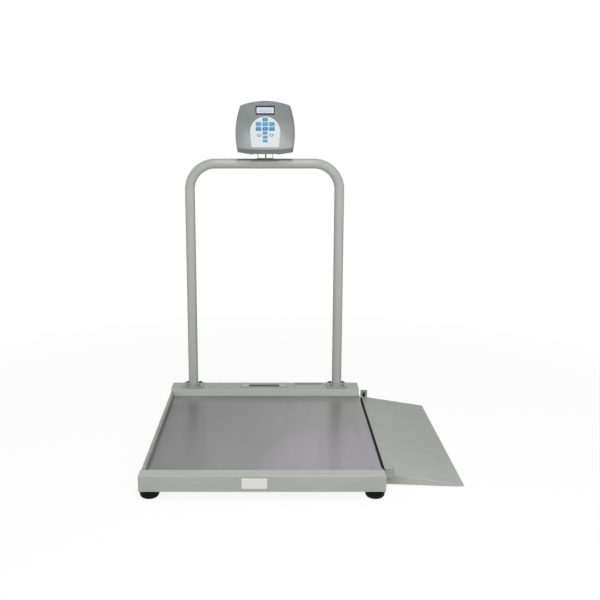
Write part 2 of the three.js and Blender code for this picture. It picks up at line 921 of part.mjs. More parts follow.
function headBody(inset, steps) {
  const bevel = {
    bevelEnabled: true,
    bevelThickness: headEdgeDepth - inset,
    bevelSize: headEdge - inset,
    bevelOffset: inset - headEdge,
    bevelSegments: headEdgeSteps,
  };
  const front = inset + bevel.bevelThickness;
  const back = headDepth - inset - bevel.bevelThickness;
  return alongY(headOutline(inset, steps), front, back, bevel);
}

function headFront(inset, steps) {
  const crowned = headBody(inset, steps).intersect(behindFace(inset, steps));
  return crowned.intersect(aboveChin(inset, steps)).subtract(headHollow(inset));
}

function headRear(inset, steps) {
  return headBody(inset, steps).subtract(headHollow(inset));
}

const wideCut = [-headWideHalf - overrun, headWideHalf + overrun];
const tallCut = [headBottom - overrun, headTop + overrun];

const padShape = (grow) => {
  const arc = Array.from({ length: rodSides + 1 }, (_, step) => {
    const angle = (Math.PI * step) / rodSides;
    return [(padRadius + grow) * Math.cos(angle), padCentre + (padRadius + grow) * Math.sin(angle)];
  });
  const foot = padFootHalf + grow;
  return outline([
    ...arc,
    [-foot, padFoot - grow, padFootRound],
    [foot, padFoot - grow, padFootRound],
  ]);
};

const windowShape = (grow) =>
  rectangle(
    -windowWidth / 2 - grow,
    windowBase - grow,
    windowWidth / 2 + grow,
    windowBase + windowHeight + grow,
    windowRound,
  );

// Every key: its name, place on the face, width, height and corner radius.
function keyPlan() {
  const plan = [["key_top", 0, onKeyHeight, keyWidth, keyHeight, keyRound]];
  const rows = [
    ["upper", upperRowHeight],
    ["lower", lowerRowHeight],
  ];
  const columns = [
    ["left", -keyColumn],
    ["centre", 0],
    ["right", keyColumn],
  ];
  for (const [row, height] of rows) {
    for (const [column, x] of columns) {
      plan.push([`key_${row}_${column}`, x, height, keyWidth, keyHeight, keyRound]);
    }
  }
  const small = [
    ["upper", upperSmallHeight],
    ["middle", middleSmallHeight],
    ["lower", lowerSmallHeight],
  ];
  for (const [row, height] of small) {
    plan.push([`key_small_${row}`, 0, height, smallKeyWidth, smallKeyHeight, keyRound]);
  }
  const ovalRound = ovalKeyHeight * ovalRoundShare;
  for (const [column, side] of [["left", -1], ["right", 1]]) {
    const x = side * ovalColumn;
    plan.push([`key_oval_${column}`, x, ovalHeight, ovalKeyWidth, ovalKeyHeight, ovalRound]);
  }
  return plan;
}

function keyShape([, x, height, width, tall, radius], grow) {
  const across = width / 2 + grow;
  const up = tall / 2 + grow;
  return rectangle(x - across, height - up, x + across, height + up, radius);
}

function faceCut(shape, back) {
  return alongY(shape, -overrun, back, {}, smallRoundSteps);
}

function boardPosts() {
  const places = [];
  for (const side of [-1, 1]) {
    for (const height of [boardBase + boardPostInset, boardBase + boardHeight - boardPostInset]) {
      places.push([side * (boardWidth / 2 - boardPostInset), height]);
    }
  }
  return places;
}

function frontShell() {
  const outer = headFront(0, headSteps).intersect(block(wideCut, [-overrun, headSeam], tallCut));
  const room = headFront(headWall, headSteps);
  const shell = cut(outer, room);
  const posts = boardPosts().map(([x, height]) =>
    alongY(disc(x, height, postRadius, smallSides), headWall, boardBack - seat),
  );
  const recessFloor = behindFace(padThick - padProud + seat, headSteps);
  const recess = faceCut(padShape(seat), headSeam).subtract(recessFloor);
  const keyholes = keyPlan().map((key) => faceCut(keyShape(key, keyClear), headSeam));
  const window = faceCut(windowShape(seat), headSeam);
  return cut(join(shell, ...posts), recess, ...keyholes, window);
}

function rearShell() {
  const rearPart = block(wideCut, [headSeam + seat, headDepth + overrun], tallCut);
  const outer = headRear(0, headSteps).intersect(rearPart);
  const shell = cut(outer, headRear(headWall, headSteps));
  const roomHalf = bracketEarHalf + tiltRoom;
  const bossStart = earSpacing / 2 + bracketEar / 2 + bossClear;
  const floor = headBottom + headRecess + headWall / 2;
  const bosses = [-1, 1].map((side) => {
    const x = sorted(side * bossStart, side * (bossStart + bossLength));
    const shape = outline([
      [pinDepth - bossRadius, floor],
      [pinDepth + bossRadius, floor],
      [pinDepth + bossRadius, bossRadius, bossRadius * fullRoundShare],
      [pinDepth - bossRadius, bossRadius, bossRadius * fullRoundShare],
    ]);
    return alongX(shape, ...x);
  });
  const slots = [-1, 1].map((side) => {
    const inner = side * (earSpacing / 2 - bracketEar / 2 - bossClear);
    const x = sorted(inner, side * bossStart);
    return block(x, [pinDepth - roomHalf, pinDepth + roomHalf], [headBottom - overrun, 0]);
  });
  const cableHole = disc(cableOffset, pinDepth + cableSetback, cableRadius + tiltRoom);
  const cable = alongZ(cableHole, headBottom - overrun, 0);
  const bore = alongX(disc(pinDepth, 0, boreRadius(tiltPinRadius, tiltPinClear)), ...wideCut);
  const bossesBored = bosses.map((boss) => cut(boss, bore));
  return cut(join(shell, ...bossesBored), ...slots, cable);
}

function keypadOverlay() {
  const band = behindFace(-padProud, headSteps).subtract(behindFace(padThick - padProud, headSteps));
  const film = alongY(padShape(0), -overrun, overrun).intersect(band);
  return cut(film, ...keyPlan().map((key) => faceCut(keyShape(key, keyClear), headSeam)));
}

function keyPad(key) {
  const [, x] = key;
  const face = headCrown * (x / headWideHalf) ** 2;
  return alongY(keyShape(key, 0), face - keyProud, face - keyProud + keyDepth, {}, smallRoundSteps);
}

function displayWindow() {
  return alongY(windowShape(0), 0, windowThick, {}, smallRoundSteps);
}

function displayModule() {
  const front = windowThick + seat;
  const grow = -moduleMargin / 2;
  return alongY(windowShape(grow), front, front + moduleDepth, {}, smallRoundSteps);
}

function circuitBoard() {
  const shape = rectangle(-boardWidth / 2, boardBase, boardWidth / 2, boardBase + boardHeight, postRadius);
  return alongY(shape, boardBack, boardBack + boardThick);
}

// Tilting bracket, its pin and the cable

// A strap bent over the handrail with two upright ears that carry the head.
function indicatorBracket() {
  const inner = tubeRadius + seat;
  const outer = inner + saddleSheet;
  const strapShape = ring(outer, inner, 2 * rodSides);
  const turned = extruded(strapShape, saddleLength).applyMatrix4(turnToX);
  const strap = solid(turned.translate(-saddleLength / 2, postLine, handrailHeight));
  const spread = outer * Math.sin(THREE.MathUtils.degToRad(saddleAngle));
  const low = handrailHeight + outer * Math.cos(THREE.MathUtils.degToRad(saddleAngle));
  const keep = block(
    [-saddleLength, saddleLength],
    [postLine - spread, postLine + spread],
    [low, low + 2 * outer],
  );
  const ears = [-1, 1].map((side) => {
    const middle = (side * earSpacing) / 2;
    const shape = outline([
      [postLine - bracketEarHalf, handrailHeight + inner],
      [postLine + bracketEarHalf, handrailHeight + inner],
      [postLine + bracketEarHalf, pivotHeight + bracketEarHalf, bracketEarHalf * fullRoundShare],
      [postLine - bracketEarHalf, pivotHeight + bracketEarHalf, bracketEarHalf * fullRoundShare],
    ]);
    return alongX(shape, middle - bracketEar / 2, middle + bracketEar / 2);
  });
  const tube = alongX(disc(postLine, handrailHeight, boreRadius(tubeRadius, seat / 2)), ...wideCut);
  const bore = alongX(disc(postLine, pivotHeight, boreRadius(tiltPinRadius, seat)), ...wideCut);
  const hole = disc(cableOffset, cableLine, boreRadius(cableRadius, seat));
  const cable = alongZ(hole, handrailHeight, pivotHeight);
  return cut(join(strap.intersect(keep), ...ears), tube, bore, cable).translate([headShift, 0, 0]);
}

function tiltPin() {
  const reach = earSpacing / 2 + bracketEar / 2 + bossClear + bossLength;
  return alongX(disc(postLine, pivotHeight, tiltPinRadius), headShift - reach, headShift + reach);
}

// The cable runs from the head, through the handrail's left post, to the junction box.
function signalCable() {
  const x = -postSpacing / 2;
  const low = housingTop - cableDrop;
  const corner = (place, radius) => ({ at: new THREE.Vector3(...place), radius });
  const run = new BentRun(
    [
      corner([cableX, cableLine, pivotHeight + cableRise]),
      corner([cableX, cableLine, handrailHeight], cableTurn),
      corner([x, cableLine, handrailHeight], handrailBend),
      corner([x, cableLine, low], cableTurn),
      corner([x, cableRun, low], cableTurn),
      corner([boxWall + seat - boxWidth / 2, cableRun, low]),
    ],
    bendSteps,
  );
  return swept(new THREE.Shape(disc(0, 0, cableRadius, cableSides).getPoints()), run);
}

// The whole scale

piece("front_rail", "paint", frontRail());
piece("rear_housing", "paint", rearHousing());
piece("left_side_guard", "paint", alongY(guardSection(), deckFront, deckBack));
piece("right_side_member", "paint", alongY(channelSection(), deckFront, deckBack));
piece("deck_plate", "steel", deckPlate());
piece("deck_mat", "mat", deckMat());
for (const [name, side] of [["left", -1], ["right", 1]]) {
  const section = stringerSection((side * stringerSpacing) / 2);
  piece(`deck_stringer_${name}`, "paint", alongY(section, deckFront, deckBack));
}

for (const { name, side, line } of corners) {
  piece(`load_cell_${name}`, "steel", loadCell(side, line));
  piece(`foot_${name}`, "rubber", foot(side, line));
}

piece("junction_box", "darkSteel", junctionBox());
piece("junction_box_lid", "darkSteel", junctionBoxLid());

piece("handrail_tube", "paint", handrailTube());
for (const [name, side] of [["left", -1], ["right", 1]]) {
  piece(`handrail_flange_${name}`, "paint", handrailFlange(side));
  boltPlaces(side).forEach(([x, y], index) => {
    piece(`flange_bolt_${name}_${index + 1}`, "darkSteel", flangeBolt(x, y));
  });
}

piece("ramp_plate", "paint", rampPlate());
piece("ramp_back_flange", "paint", rampBackFlange());
piece("ramp_side_front", "paint", rampSide(rampFront, frontEarTop));
piece("ramp_side_rear", "paint", rampSide(rampBack - sheet, rearEarTop));
piece("ramp_rib", "paint", rampRib());
piece("hinge_bracket_front", "paint", frontHingeBracket());
piece("hinge_bracket_rear", "paint", rearHingeBracket());
piece("hinge_pin_front", "darkSteel", hingePin(rampFront, -1));
piece("hinge_pin_rear", "darkSteel", hingePin(rampBack, 1));

piece("indicator_bracket", "paint", indicatorBracket());
piece("tilt_pin", "steel", tiltPin());
piece("signal_cable", "rubber", signalCable());
headPiece("indicator_front_shell", "shell", frontShell());
headPiece("indicator_rear_shell", "shell", rearShell());
headPiece("display_window", "lens", displayWindow());
headPiece("display_module", "screen", displayModule());
headPiece("keypad_overlay", "film", keypadOverlay());
headPiece("circuit_board", "board", circuitBoard());
for (const key of keyPlan()) headPiece(key[0], "key", keyPad(key));

const scale = new THREE.Group();
scale.add(platform);

export default scale;
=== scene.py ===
"""The looks of a wheelchair ramp scale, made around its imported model.

The file follows the scale as it is put together, from the floor up. Blender wants metres, and the
places on the scale are written in millimetres from the floor under the middle of the platform's
front edge, which is how its drawing gives them: at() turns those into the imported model's metres.
"""

import json
import math

import bmesh
import bpy
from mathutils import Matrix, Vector

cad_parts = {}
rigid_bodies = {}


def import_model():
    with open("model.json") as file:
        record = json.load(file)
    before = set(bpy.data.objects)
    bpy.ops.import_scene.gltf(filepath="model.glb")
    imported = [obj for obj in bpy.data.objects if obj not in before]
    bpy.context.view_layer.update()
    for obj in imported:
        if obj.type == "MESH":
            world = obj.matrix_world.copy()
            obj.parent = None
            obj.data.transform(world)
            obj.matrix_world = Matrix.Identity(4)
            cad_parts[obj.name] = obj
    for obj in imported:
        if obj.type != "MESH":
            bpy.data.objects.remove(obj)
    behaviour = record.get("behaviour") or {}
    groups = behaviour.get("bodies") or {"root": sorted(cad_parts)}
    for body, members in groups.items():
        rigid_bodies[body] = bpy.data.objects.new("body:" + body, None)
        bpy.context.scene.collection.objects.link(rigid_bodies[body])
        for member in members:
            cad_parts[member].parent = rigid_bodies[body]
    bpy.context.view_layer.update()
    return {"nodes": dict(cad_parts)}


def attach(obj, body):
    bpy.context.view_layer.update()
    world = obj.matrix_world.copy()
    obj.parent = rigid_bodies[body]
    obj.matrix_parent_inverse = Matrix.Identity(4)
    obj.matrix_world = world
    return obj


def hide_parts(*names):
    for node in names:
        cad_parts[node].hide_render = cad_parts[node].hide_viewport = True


# The imported model.

scene = bpy.context.scene
for leftover in list(bpy.data.objects):
    bpy.data.objects.remove(leftover)
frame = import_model()


# The camera stands in front of the scale, a little above the handrail's height, looking slightly
# down, as whoever took the picture stood.

PLATFORM_FRONT = Vector((-0.132, -0.47175, 0))


def at(x, y, z):
    """A place on the scale, from millimetres off the front edge's middle to metres in the model."""
    return PLATFORM_FRONT + Vector((x, y, z)) / 1000


def added(name, data):
    """A new object in the scene, for a camera, a lamp or a mesh."""
    made = bpy.data.objects.new(name, data)
    scene.collection.objects.link(made)
    return made


camera_lens = bpy.data.cameras.new("camera")
camera_lens.lens = 51.88
camera_lens.sensor_width = 36
camera_lens.shift_x = 0.0433
camera = added("camera", camera_lens)
camera.location = at(36.6, -2487.5, 1131.5)
camera.rotation_euler = (math.radians(78.6), 0, 0)
scene.camera = camera


# The studio: a pale floor that runs into a white surround, and three soft lamps. A white surface
# that faces the lamps renders about white, so every finish shows the colour it is given.


class Socket:
    """An output of a node. Sums, products and comparisons of sockets add Math nodes."""

    def __init__(self, tree, output=None):
        self.tree = tree
        self.output = output

    def node(self, kind, settings, inputs, output=0):
        """Any other node: its type after ShaderNode, its settings, the values or links it takes."""
        made = self.tree.nodes.new("ShaderNode" + kind)
        for name, value in settings.items():
            setattr(made, name, value)
        for name, value in inputs.items():
            if isinstance(value, Socket):
                self.tree.links.new(value.output, made.inputs[name])
            else:
                made.inputs[name].default_value = value
        return Socket(self.tree, made.outputs[output]) if made.outputs else None

    def maths(self, operation, *others):
        """A Math node on this socket and what else the operation takes."""
        numbers = dict(enumerate((self, *others)))
        return self.node("Math", {"operation": operation}, numbers)

    def __add__(self, other):
        return self.maths("ADD", other)

    def __sub__(self, other):
        return self.maths("SUBTRACT", other)

    def __rsub__(self, other):
        return self.node("Math", {"operation": "SUBTRACT"}, {0: other, 1: self})

    def __mul__(self, other):
        return self.maths("MULTIPLY", other)

    def __gt__(self, other):
        return self.maths("GREATER_THAN", other)

    def __lt__(self, other):
        return self.maths("LESS_THAN", other)

    def __abs__(self):
        return self.maths("ABSOLUTE")

    __radd__ = __add__
    __rmul__ = __mul__


def finish(name):
    """Starts a material, and gives it with the place on the scale as its first socket."""
    material = bpy.data.materials.new(name)
    material.use_nodes = True
    material.node_tree.nodes.clear()
    return material, Socket(material.node_tree).node("TexCoord", {}, {}, "Object")


def ramped(value, low, high, start=0, end=1):
    """A value's run from low to high, made into a smooth run from start to end."""
    return value.node(
        "MapRange",
        {"interpolation_type": "SMOOTHSTEP"},
        {"Value": value, "From Min": low, "From Max": high, "To Min": start, "To Max": end},
    )


def seen_ray(start):
    """1 for what the camera, a reflection or a clear pane sees, and 0 for light that spreads."""
    rays = [
        start.node("LightPath", {}, {}, name)
        for name in ("Is Camera Ray", "Is Glossy Ray", "Is Transmission Ray")
    ]
    return (rays[0] + rays[1] + rays[2]).maths("MINIMUM", 1)


SURROUND_LIGHT, WHITE = 0.5, (1, 1, 1, 1)
studio = bpy.data.worlds.new("studio")
studio.use_nodes = True
studio.node_tree.nodes.clear()
scene.world = studio
air = Socket(studio.node_tree)
surround = air.node(
    "Background",
    {},
    {"Color": WHITE, "Strength": SURROUND_LIGHT + seen_ray(air) * (1 - SURROUND_LIGHT)},
)
air.node("OutputWorld", {}, {"Surface": surround})

FLOOR_HALF, FLOOR_FADE, FLOOR_GLOW_NEAR = 9, (1.2, 2.6), 0.9
FLOOR_TONE = (0.94, 0.94, 0.94, 1)
floor_paint, place = finish("studio_floor")
distance = place.node("VectorMath", {"operation": "LENGTH"}, {0: place}, "Value")
far_off = ramped(distance, *FLOOR_FADE, FLOOR_GLOW_NEAR, 1)
matt = place.node("BsdfDiffuse", {}, {"Color": FLOOR_TONE})
white = place.node("Emission", {}, {"Color": WHITE, "Strength": 1})
glowing = far_off * seen_ray(place)
floor_surface = place.node("MixShader", {}, {0: glowing, 1: matt, 2: white})
place.node("OutputMaterial", {}, {"Surface": floor_surface})

floor_mesh = bpy.data.meshes.new("studio_floor")
floor_mesh.from_pydata(
    [(x * FLOOR_HALF, y * FLOOR_HALF, 0) for x, y in ((-1, -1), (1, -1), (1, 1), (-1, 1))],
    [],
    [(0, 1, 2, 3)],
)
floor_mesh.materials.append(floor_paint)
floor = added("studio_floor", floor_mesh)

# each lamp: place and aim in metres, width and height, watts
LAMPS = {
    "lamp_overhead": ((0.2, -1.6, 2.3), (0, -0.3, 0.1), (1.4, 1.0), 26),
    "lamp_front": ((-1.6, -6.8, 2.6), (0, 0.3, 0.5), (4.2, 3.4), 108),
    "lamp_right": ((3.0, -1.8, 2.0), (0, 0, 0.5), (1.8, 1.8), 14),
}
for name, (place, aim, size, watts) in LAMPS.items():
    lamp_data = bpy.data.lights.new(name, "AREA")
    lamp_data.shape = "RECTANGLE"
    lamp_data.size, lamp_data.size_y = size
    lamp_data.energy = watts
    lamp = added(name, lamp_data)
    lamp.location = place
    lamp.rotation_euler = (Vector(aim) - Vector(place)).to_track_quat("-Z", "Y").to_euler()


# The welded base: a folded rail across the front, a raised housing across the back, a guard along
# the left and a channel along the right, all in one coat of baked grey powder paint. The rail's top
# carries a painted highlight, the housing's front face is painted lighter as if lit, and painted
# shade lies along the inside of the guard.

RAIL_TOP, RAIL_BACK = 81.5, 50.8
HOUSING_TOP, HOUSING_FRONT = 93, 853.5
GUARD_FACE, SIDE_OUTER = -366, 378


def colour(red, green, blue):
    """A colour as a screen shows it, 0 to 255, as a shader wants it."""
    linear = [
        (c / 255 / 12.92) if c / 255 <= 0.04045 else ((c / 255 + 0.055) / 1.055) ** 2.4
        for c in (red, green, blue)
    ]
    return (*linear, 1)


EVEN = (1, 1, 1)


def grain(place, size, stretch=EVEN, detail=2.0):
    """Noise from 0 to 1 whose blotches are size millimetres wide, longer where stretch is more."""
    scale = [1000 / (size * s) for s in stretch]
    fitted = place.node("Mapping", {}, {"Vector": place, "Scale": scale})
    return place.node(
        "TexNoise", {}, {"Vector": fitted, "Scale": 1, "Detail": detail}, "Fac"
    )


def mixed(share, *tones):
    """One colour running into another as share goes from 0 to 1."""
    first, second = (tone if isinstance(tone, Socket) else colour(*tone) for tone in tones)
    settings = {"data_type": "RGBA", "clamp_factor": True}
    return share.node("Mix", settings, {0: share, 6: first, 7: second}, 2)


def tinted(tone, *layers):
    """A colour with others laid over it in turn, each behind its share."""
    for share, over in layers:
        tone = mixed(share, tone, over)
    return tone


def band(value, start, full, fading, gone):
    """1 while a value is between full and fading, running down to 0 at start and at gone."""
    return ramped(value, start, full) * ramped(value, fading, gone, 1, 0)


def uneven(place, size, low, high, detail=2.0):
    """A value that wanders from low to high over blotches of so many millimetres."""
    return ramped(grain(place, size, detail=detail), 0.3, 0.7, low, high)


def raised(height, depth, strength=1):
    """The surface's direction with a height of 0 to 1 standing depth millimetres proud."""
    return height.node(
        "Bump", {}, {"Height": height, "Strength": strength, "Distance": depth / 1000}
    )


def coat(place, **inputs):
    """Ends a material in one surface shader. A _ in an input's name stands for a space."""
    named = {name.replace("_", " "): value for name, value in inputs.items()}
    surface = place.node("BsdfPrincipled", {}, named)
    place.node("OutputMaterial", {}, {"Surface": surface})


def along(place, axis):
    """How far along one axis a place on the scale is, in the drawing's millimetres."""
    reading = place.node("SeparateXYZ", {}, {"Vector": place}, axis)
    return (reading - PLATFORM_FRONT["XYZ".index(axis)]) * 1000


WELD_REACH = 0.000002
SHARP_ANGLE = 40


def dress(names, material, round_edge=0.5):
    """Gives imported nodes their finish, and softens their edges by round_edge millimetres."""
    for name in names:
        node = frame["nodes"][name]
        for layer in ("custom_normal", "sharp_edge", "sharp_face"):
            if layer in node.data.attributes:
                node.data.attributes.remove(node.data.attributes[layer])
        node.data.materials.clear()
        node.data.materials.append(material)
        weld = node.modifiers.new("weld", "WELD")
        weld.merge_threshold = WELD_REACH
        if round_edge:
            edge = node.modifiers.new("edge", "BEVEL")
            edge.width = round_edge / 1000
            edge.segments = 2
            edge.limit_method = "ANGLE"
            edge.angle_limit = math.radians(SHARP_ANGLE)
        flat = node.modifiers.new("flat", "WEIGHTED_NORMAL")
        flat.weight = 90


def rub_marks(place):
    """Where paint has been rubbed paler, in small upright patches."""
    return ramped(grain(place, 40, (1, 1, 0.4), 5), 0.62, 0.75) * 0.12


def powder_coat(place, tone, dullest=0.52, **constants):
    """Ends a paint's material: satin, with the fine wavy skin of baked powder."""
    coat(
        place,
        Base_Color=tone,
        Roughness=ramped(grain(place, 30, detail=4), 0.25, 0.75, 0.42, dullest),
        Normal=raised(grain(place, 2.4, detail=1) * 0.7 + grain(place, 0.9) * 0.3, 0.05, 0.6),
        **constants,
    )


grey_paint, place = finish("grey_paint")
side, back, high = (along(place, axis) for axis in "XYZ")
# A painted highlight along the rail's top.
rail_top_highlight = ramped(back, RAIL_BACK + 21, RAIL_BACK + 41, 1, 0)
rail_top_highlight = rail_top_highlight * ramped(high, RAIL_TOP - 2.3, RAIL_TOP - 0.3)
# The housing's front face, painted lighter as if lit.
housing_front_light = band(back, *(HOUSING_FRONT + step for step in (-5.75, -1.75, 1.25, 5.25)))
housing_front_light = housing_front_light * ramped(high, HOUSING_TOP - 3.5, HOUSING_TOP - 0.5, 1, 0)
housing_front_light = housing_front_light * ramped(abs(side), SIDE_OUTER - 1.8, SIDE_OUTER - 0.2, 1, 0)
# Painted shade along the inside of the guard.
guard_inner_shade = band(side, -SIDE_OUTER + 0.5, -SIDE_OUTER + 6, GUARD_FACE + 8, GUARD_FACE + 18)
guard_inner_shade = guard_inner_shade * ramped(back, RAIL_BACK - 0.55, RAIL_BACK + 1.45)
guard_inner_shade = guard_inner_shade * ramped(back, HOUSING_FRONT - 3.75, HOUSING_FRONT, 1, 0)
paint_tone = tinted(
    mixed(uneven(place, 260, 0, 1, 3), (155, 157, 151), (160, 162, 156)),
    (rail_top_highlight, (170, 174, 168)),
    (housing_front_light, (184, 188, 181)),
    (guard_inner_shade * 0.3, (84, 86, 82)),
    (rub_marks(place), (180, 182, 178)),
)
powder_coat(place, paint_tone, IOR=1.5)
base_sheets = ["front_rail", "rear_housing", "left_side_guard", "right_side_member"]
base_sheets += ["deck_stringer_left", "deck_stringer_right"]
dress(base_sheets, grey_paint, 0.8)


# Bare labels, all blank and stuck on: two thin plates on the housing's top, of which one has a pale
# border on a dark frame that is widest along its front, where it stands in for the border's shadow,
# and a film sticker on the front rail.


def rounded(form, grow=0, steps=6):
    """A rectangle's outline, round at its corners. Its form is middle, width, height, radius."""
    x, y, width, height, radius = form
    width, height, radius = width + 2 * grow, height + 2 * grow, max(radius + grow, 0.01)
    points = []
    for quarter, (right, up) in enumerate(((1, 1), (-1, 1), (-1, -1), (1, -1))):
        for step in range(steps + 1):
            angle = math.radians(90 * (quarter + step / steps))
            u = right * (width / 2 - radius) + radius * math.cos(angle)
            v = up * (height / 2 - radius) + radius * math.sin(angle)
            points.append((x + u, y + v))
    return points


def loft(rings, hollow=False):
    """A closed skin over rings of as many points each, capped, or joined into a hollow ring."""
    count = len(rings[0])
    points = [point for ring in rings for point in ring]
    starts = [k * count for k in range(len(rings))]
    pairs = list(zip(starts, starts[1:])) + ([(starts[-1], 0)] if hollow else [])
    faces = [
        (a + i, a + (i + 1) % count, b + (i + 1) % count, b + i)
        for a, b in pairs
        for i in range(count)
    ]
    if not hollow:
        faces.append(tuple(reversed(range(count))))
        faces.append(tuple(range(starts[-1], starts[-1] + count)))
    return points, faces


def smooth(made, crease):
    """Shades an object smooth, but for edges sharper than a crease of so many degrees."""
    made.data.shade_smooth()
    made.data.set_sharp_from_angle(angle=math.radians(crease))


def skinned(name, skins):
    """An object whose mesh is made of closed skins, their points in metres."""
    mesh = bpy.data.meshes.new(name)
    form = bmesh.new()
    for points, faces in skins:
        corners = [form.verts.new(point) for point in points]
        for face in faces:
            form.faces.new([corners[i] for i in face])
    bmesh.ops.recalc_face_normals(form, faces=form.faces)
    form.to_mesh(mesh)
    form.free()
    return added(name, mesh)


SMOOTH_ANGLE = 35


def piece(name, skins, material, body, stands_for=(), crease=SMOOTH_ANGLE):
    """One piece of the scale, the body it rides on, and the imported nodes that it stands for."""
    made = skinned(name, skins)
    made.data.materials.append(material)
    smooth(made, crease)
    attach(made, body)
    if stands_for:
        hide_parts(*stands_for)
    return made


def slab(form, low, high, edge, lay):
    """A plate between two heights with softened edges. lay puts (u, v, height) on the scale."""
    rings = []
    for level, grow in ((low, -edge), (low + edge, 0), (high - edge, 0), (high, -edge)):
        rings.append([lay(u, v, level) for u, v in rounded(form, grow)])
    return loft(rings)


def upright(u, v, depth):
    """A place on an outline drawn from the front, so far behind the platform's front."""
    return at(u, depth, v)


def streaked(name, tones, lines, sheen, metallic):
    """A metal whose tone, roughness and skin all follow one fine grain that runs one way."""
    material, place = finish(name)
    streaks = grain(place, *lines)
    coat(
        place,
        Base_Color=mixed(streaks, *tones),
        Roughness=ramped(streaks, *sheen),
        Metallic=metallic,
        Normal=raised(streaks, 0.02, 0.4),
    )
    return material


def plain(name, tones, mottle, sheen, skin, **constants):
    """A finish without marks, from its tones, their grain, its roughness and its skin's bumps."""
    material, place = finish(name)
    coat(
        place,
        Base_Color=mixed(grain(place, *mottle), *tones),
        Roughness=uneven(place, *sheen) if isinstance(sheen, tuple) else sheen,
        Normal=raised(grain(place, skin[0]), *skin[1:]),
        **constants,
    )
    return material


label_foil = streaked(
    "label_foil",
    ((84, 89, 96), (99, 104, 111)),
    (1.2, (30, 1, 1), 3),
    (0.3, 0.7, 0.3, 0.42),
    0.35,
)
label_dark = plain(
    "label_dark",
    ((42, 46, 52), (54, 58, 64)),
    (3, (8, 1, 1)),
    (4, 0.42, 0.52),
    (1.5, 0.02, 0.4),
    IOR=1.35,
)
label_edge = plain(
    "label_edge", ((164, 167, 165), (171, 174, 171)), (8,), 0.4, (1.5, 0.02, 0.4)
)
sticker_film, place = finish("sticker_film")
coat(
    place,
    Base_Color=mixed(grain(place, 14, detail=3), (207, 204, 198), (215, 213, 207)),
    Roughness=uneven(place, 5, 0.36, 0.48),
    Normal=raised(grain(place, 6, detail=1), 0.02, 0.5),
)
LABEL_CORNER = 1.5
PLATE_SUNK, PLATE_EDGE = 0.2, 0.12
# each plate: middle to the right and back, width and depth, how proud it stands, its film
PLATES = {
    "plate_border": (-6.5, 899, 183, 38, 0.45, label_edge),
    # A dark plate under the border, widest at its front, where it stands in for the border's
    # shadow.
    "plate_frame": (-6.5, 897.2, 186, 43.6, 0.25, label_dark),
    "plate_middle": (-3.5, 898, 123, 27, 0.7, label_dark),
    "plate_right": (176.6, 927, 110, 24, 0.7, label_foil),
}
for name, (*form, proud, film) in PLATES.items():
    low, high = HOUSING_TOP - PLATE_SUNK, HOUSING_TOP + proud
    plate = slab((*form, LABEL_CORNER), low, high, PLATE_EDGE, at)
    piece(name, [plate], film, "base")
STICKER = (-24, 55.5, 78, 34, LABEL_CORNER)
STICKER_PROUD, STICKER_SUNK, STICKER_EDGE = 0.06, 0.2, 0.05
sticker = slab(STICKER, -STICKER_PROUD, STICKER_SUNK, STICKER_EDGE, upright)
piece("front_sticker", [sticker], sticker_film, "base")


# The deck: a steel plate between the rail and the housing, and the smooth satin sheet that the
# wheels roll on. Its grain runs from front to back. The sheet is painted darker towards the left
# and paler at the front left of the middle, with painted shade beside the guard, in the back left
# corner, towards the ramp and at the back, a painted bluish sheen at the front right, a painted
# reflection of the housing at the back left, and painted reflections of the two posts.

plate_steel = streaked(
    "plate_steel",
    ((128, 130, 130), (146, 148, 148)),
    (3, (1, 40, 1), 4),
    (0.2, 0.8, 0.32, 0.46),
    0.85,
)
dress(["deck_plate"], plate_steel, 0)

deck_satin, place = finish("deck_satin")
fine_grain = grain(place, 0.8, (1, 90, 1), 3)
broad_grain = grain(place, 34, (1, 14, 1), 4)
side, back = along(place, "X"), along(place, "Y")
# The sheet is painted darker towards the left.
across = ramped(side, -318, 352)
# A painted bluish sheen at the front right.
blue_sheen = ramped(side - back * 0.38, -117, 3) * ramped(back, 342, 542, 1, 0)
sheen_tone = mixed(ramped(side, -318, 212), (113, 109, 117), (153, 149, 158))
# Painted shade at the back.
back_shade = ramped(back, 72, 672) * ramped(back, 712, 772, 0.17, 0.02)
# Painted shade beside the guard.
guard_shade = ramped(side, -338, -288, 0.24, 0) * ramped(back, 72, 572, 0.1, 1)
# Painted shade in the back left corner.
corner_shade = ramped(side, -378, -288, 0.3, 0) * ramped(back, 572, 832)
# A painted reflection of the right post, as a dark streak.
right_post_reflection = ramped(abs(side - back * 0.0681 - 220.4), 8, 30, 0.08, 0)
# Painted shade towards the ramp's edge.
ramp_side_shade = ramped(side, 252, 332, 0, 0.13)
# All the painted shade, with the right post's painted reflection.
shade_and_reflection = back_shade + guard_shade + corner_shade + right_post_reflection + ramp_side_shade
# A painted reflection of the housing, paler at the back left.
housing_reflection = ramped(back, 712, 822) * (1 - across)
# A painted reflection of the left post, as a pale streak.
left_post_reflection = ramped(abs(side + back * 0.0884 + 202.4), 6, 30, 0.07, 0)
left_post_reflection = left_post_reflection * ramped(back, 122, 572, 0.2, 1)
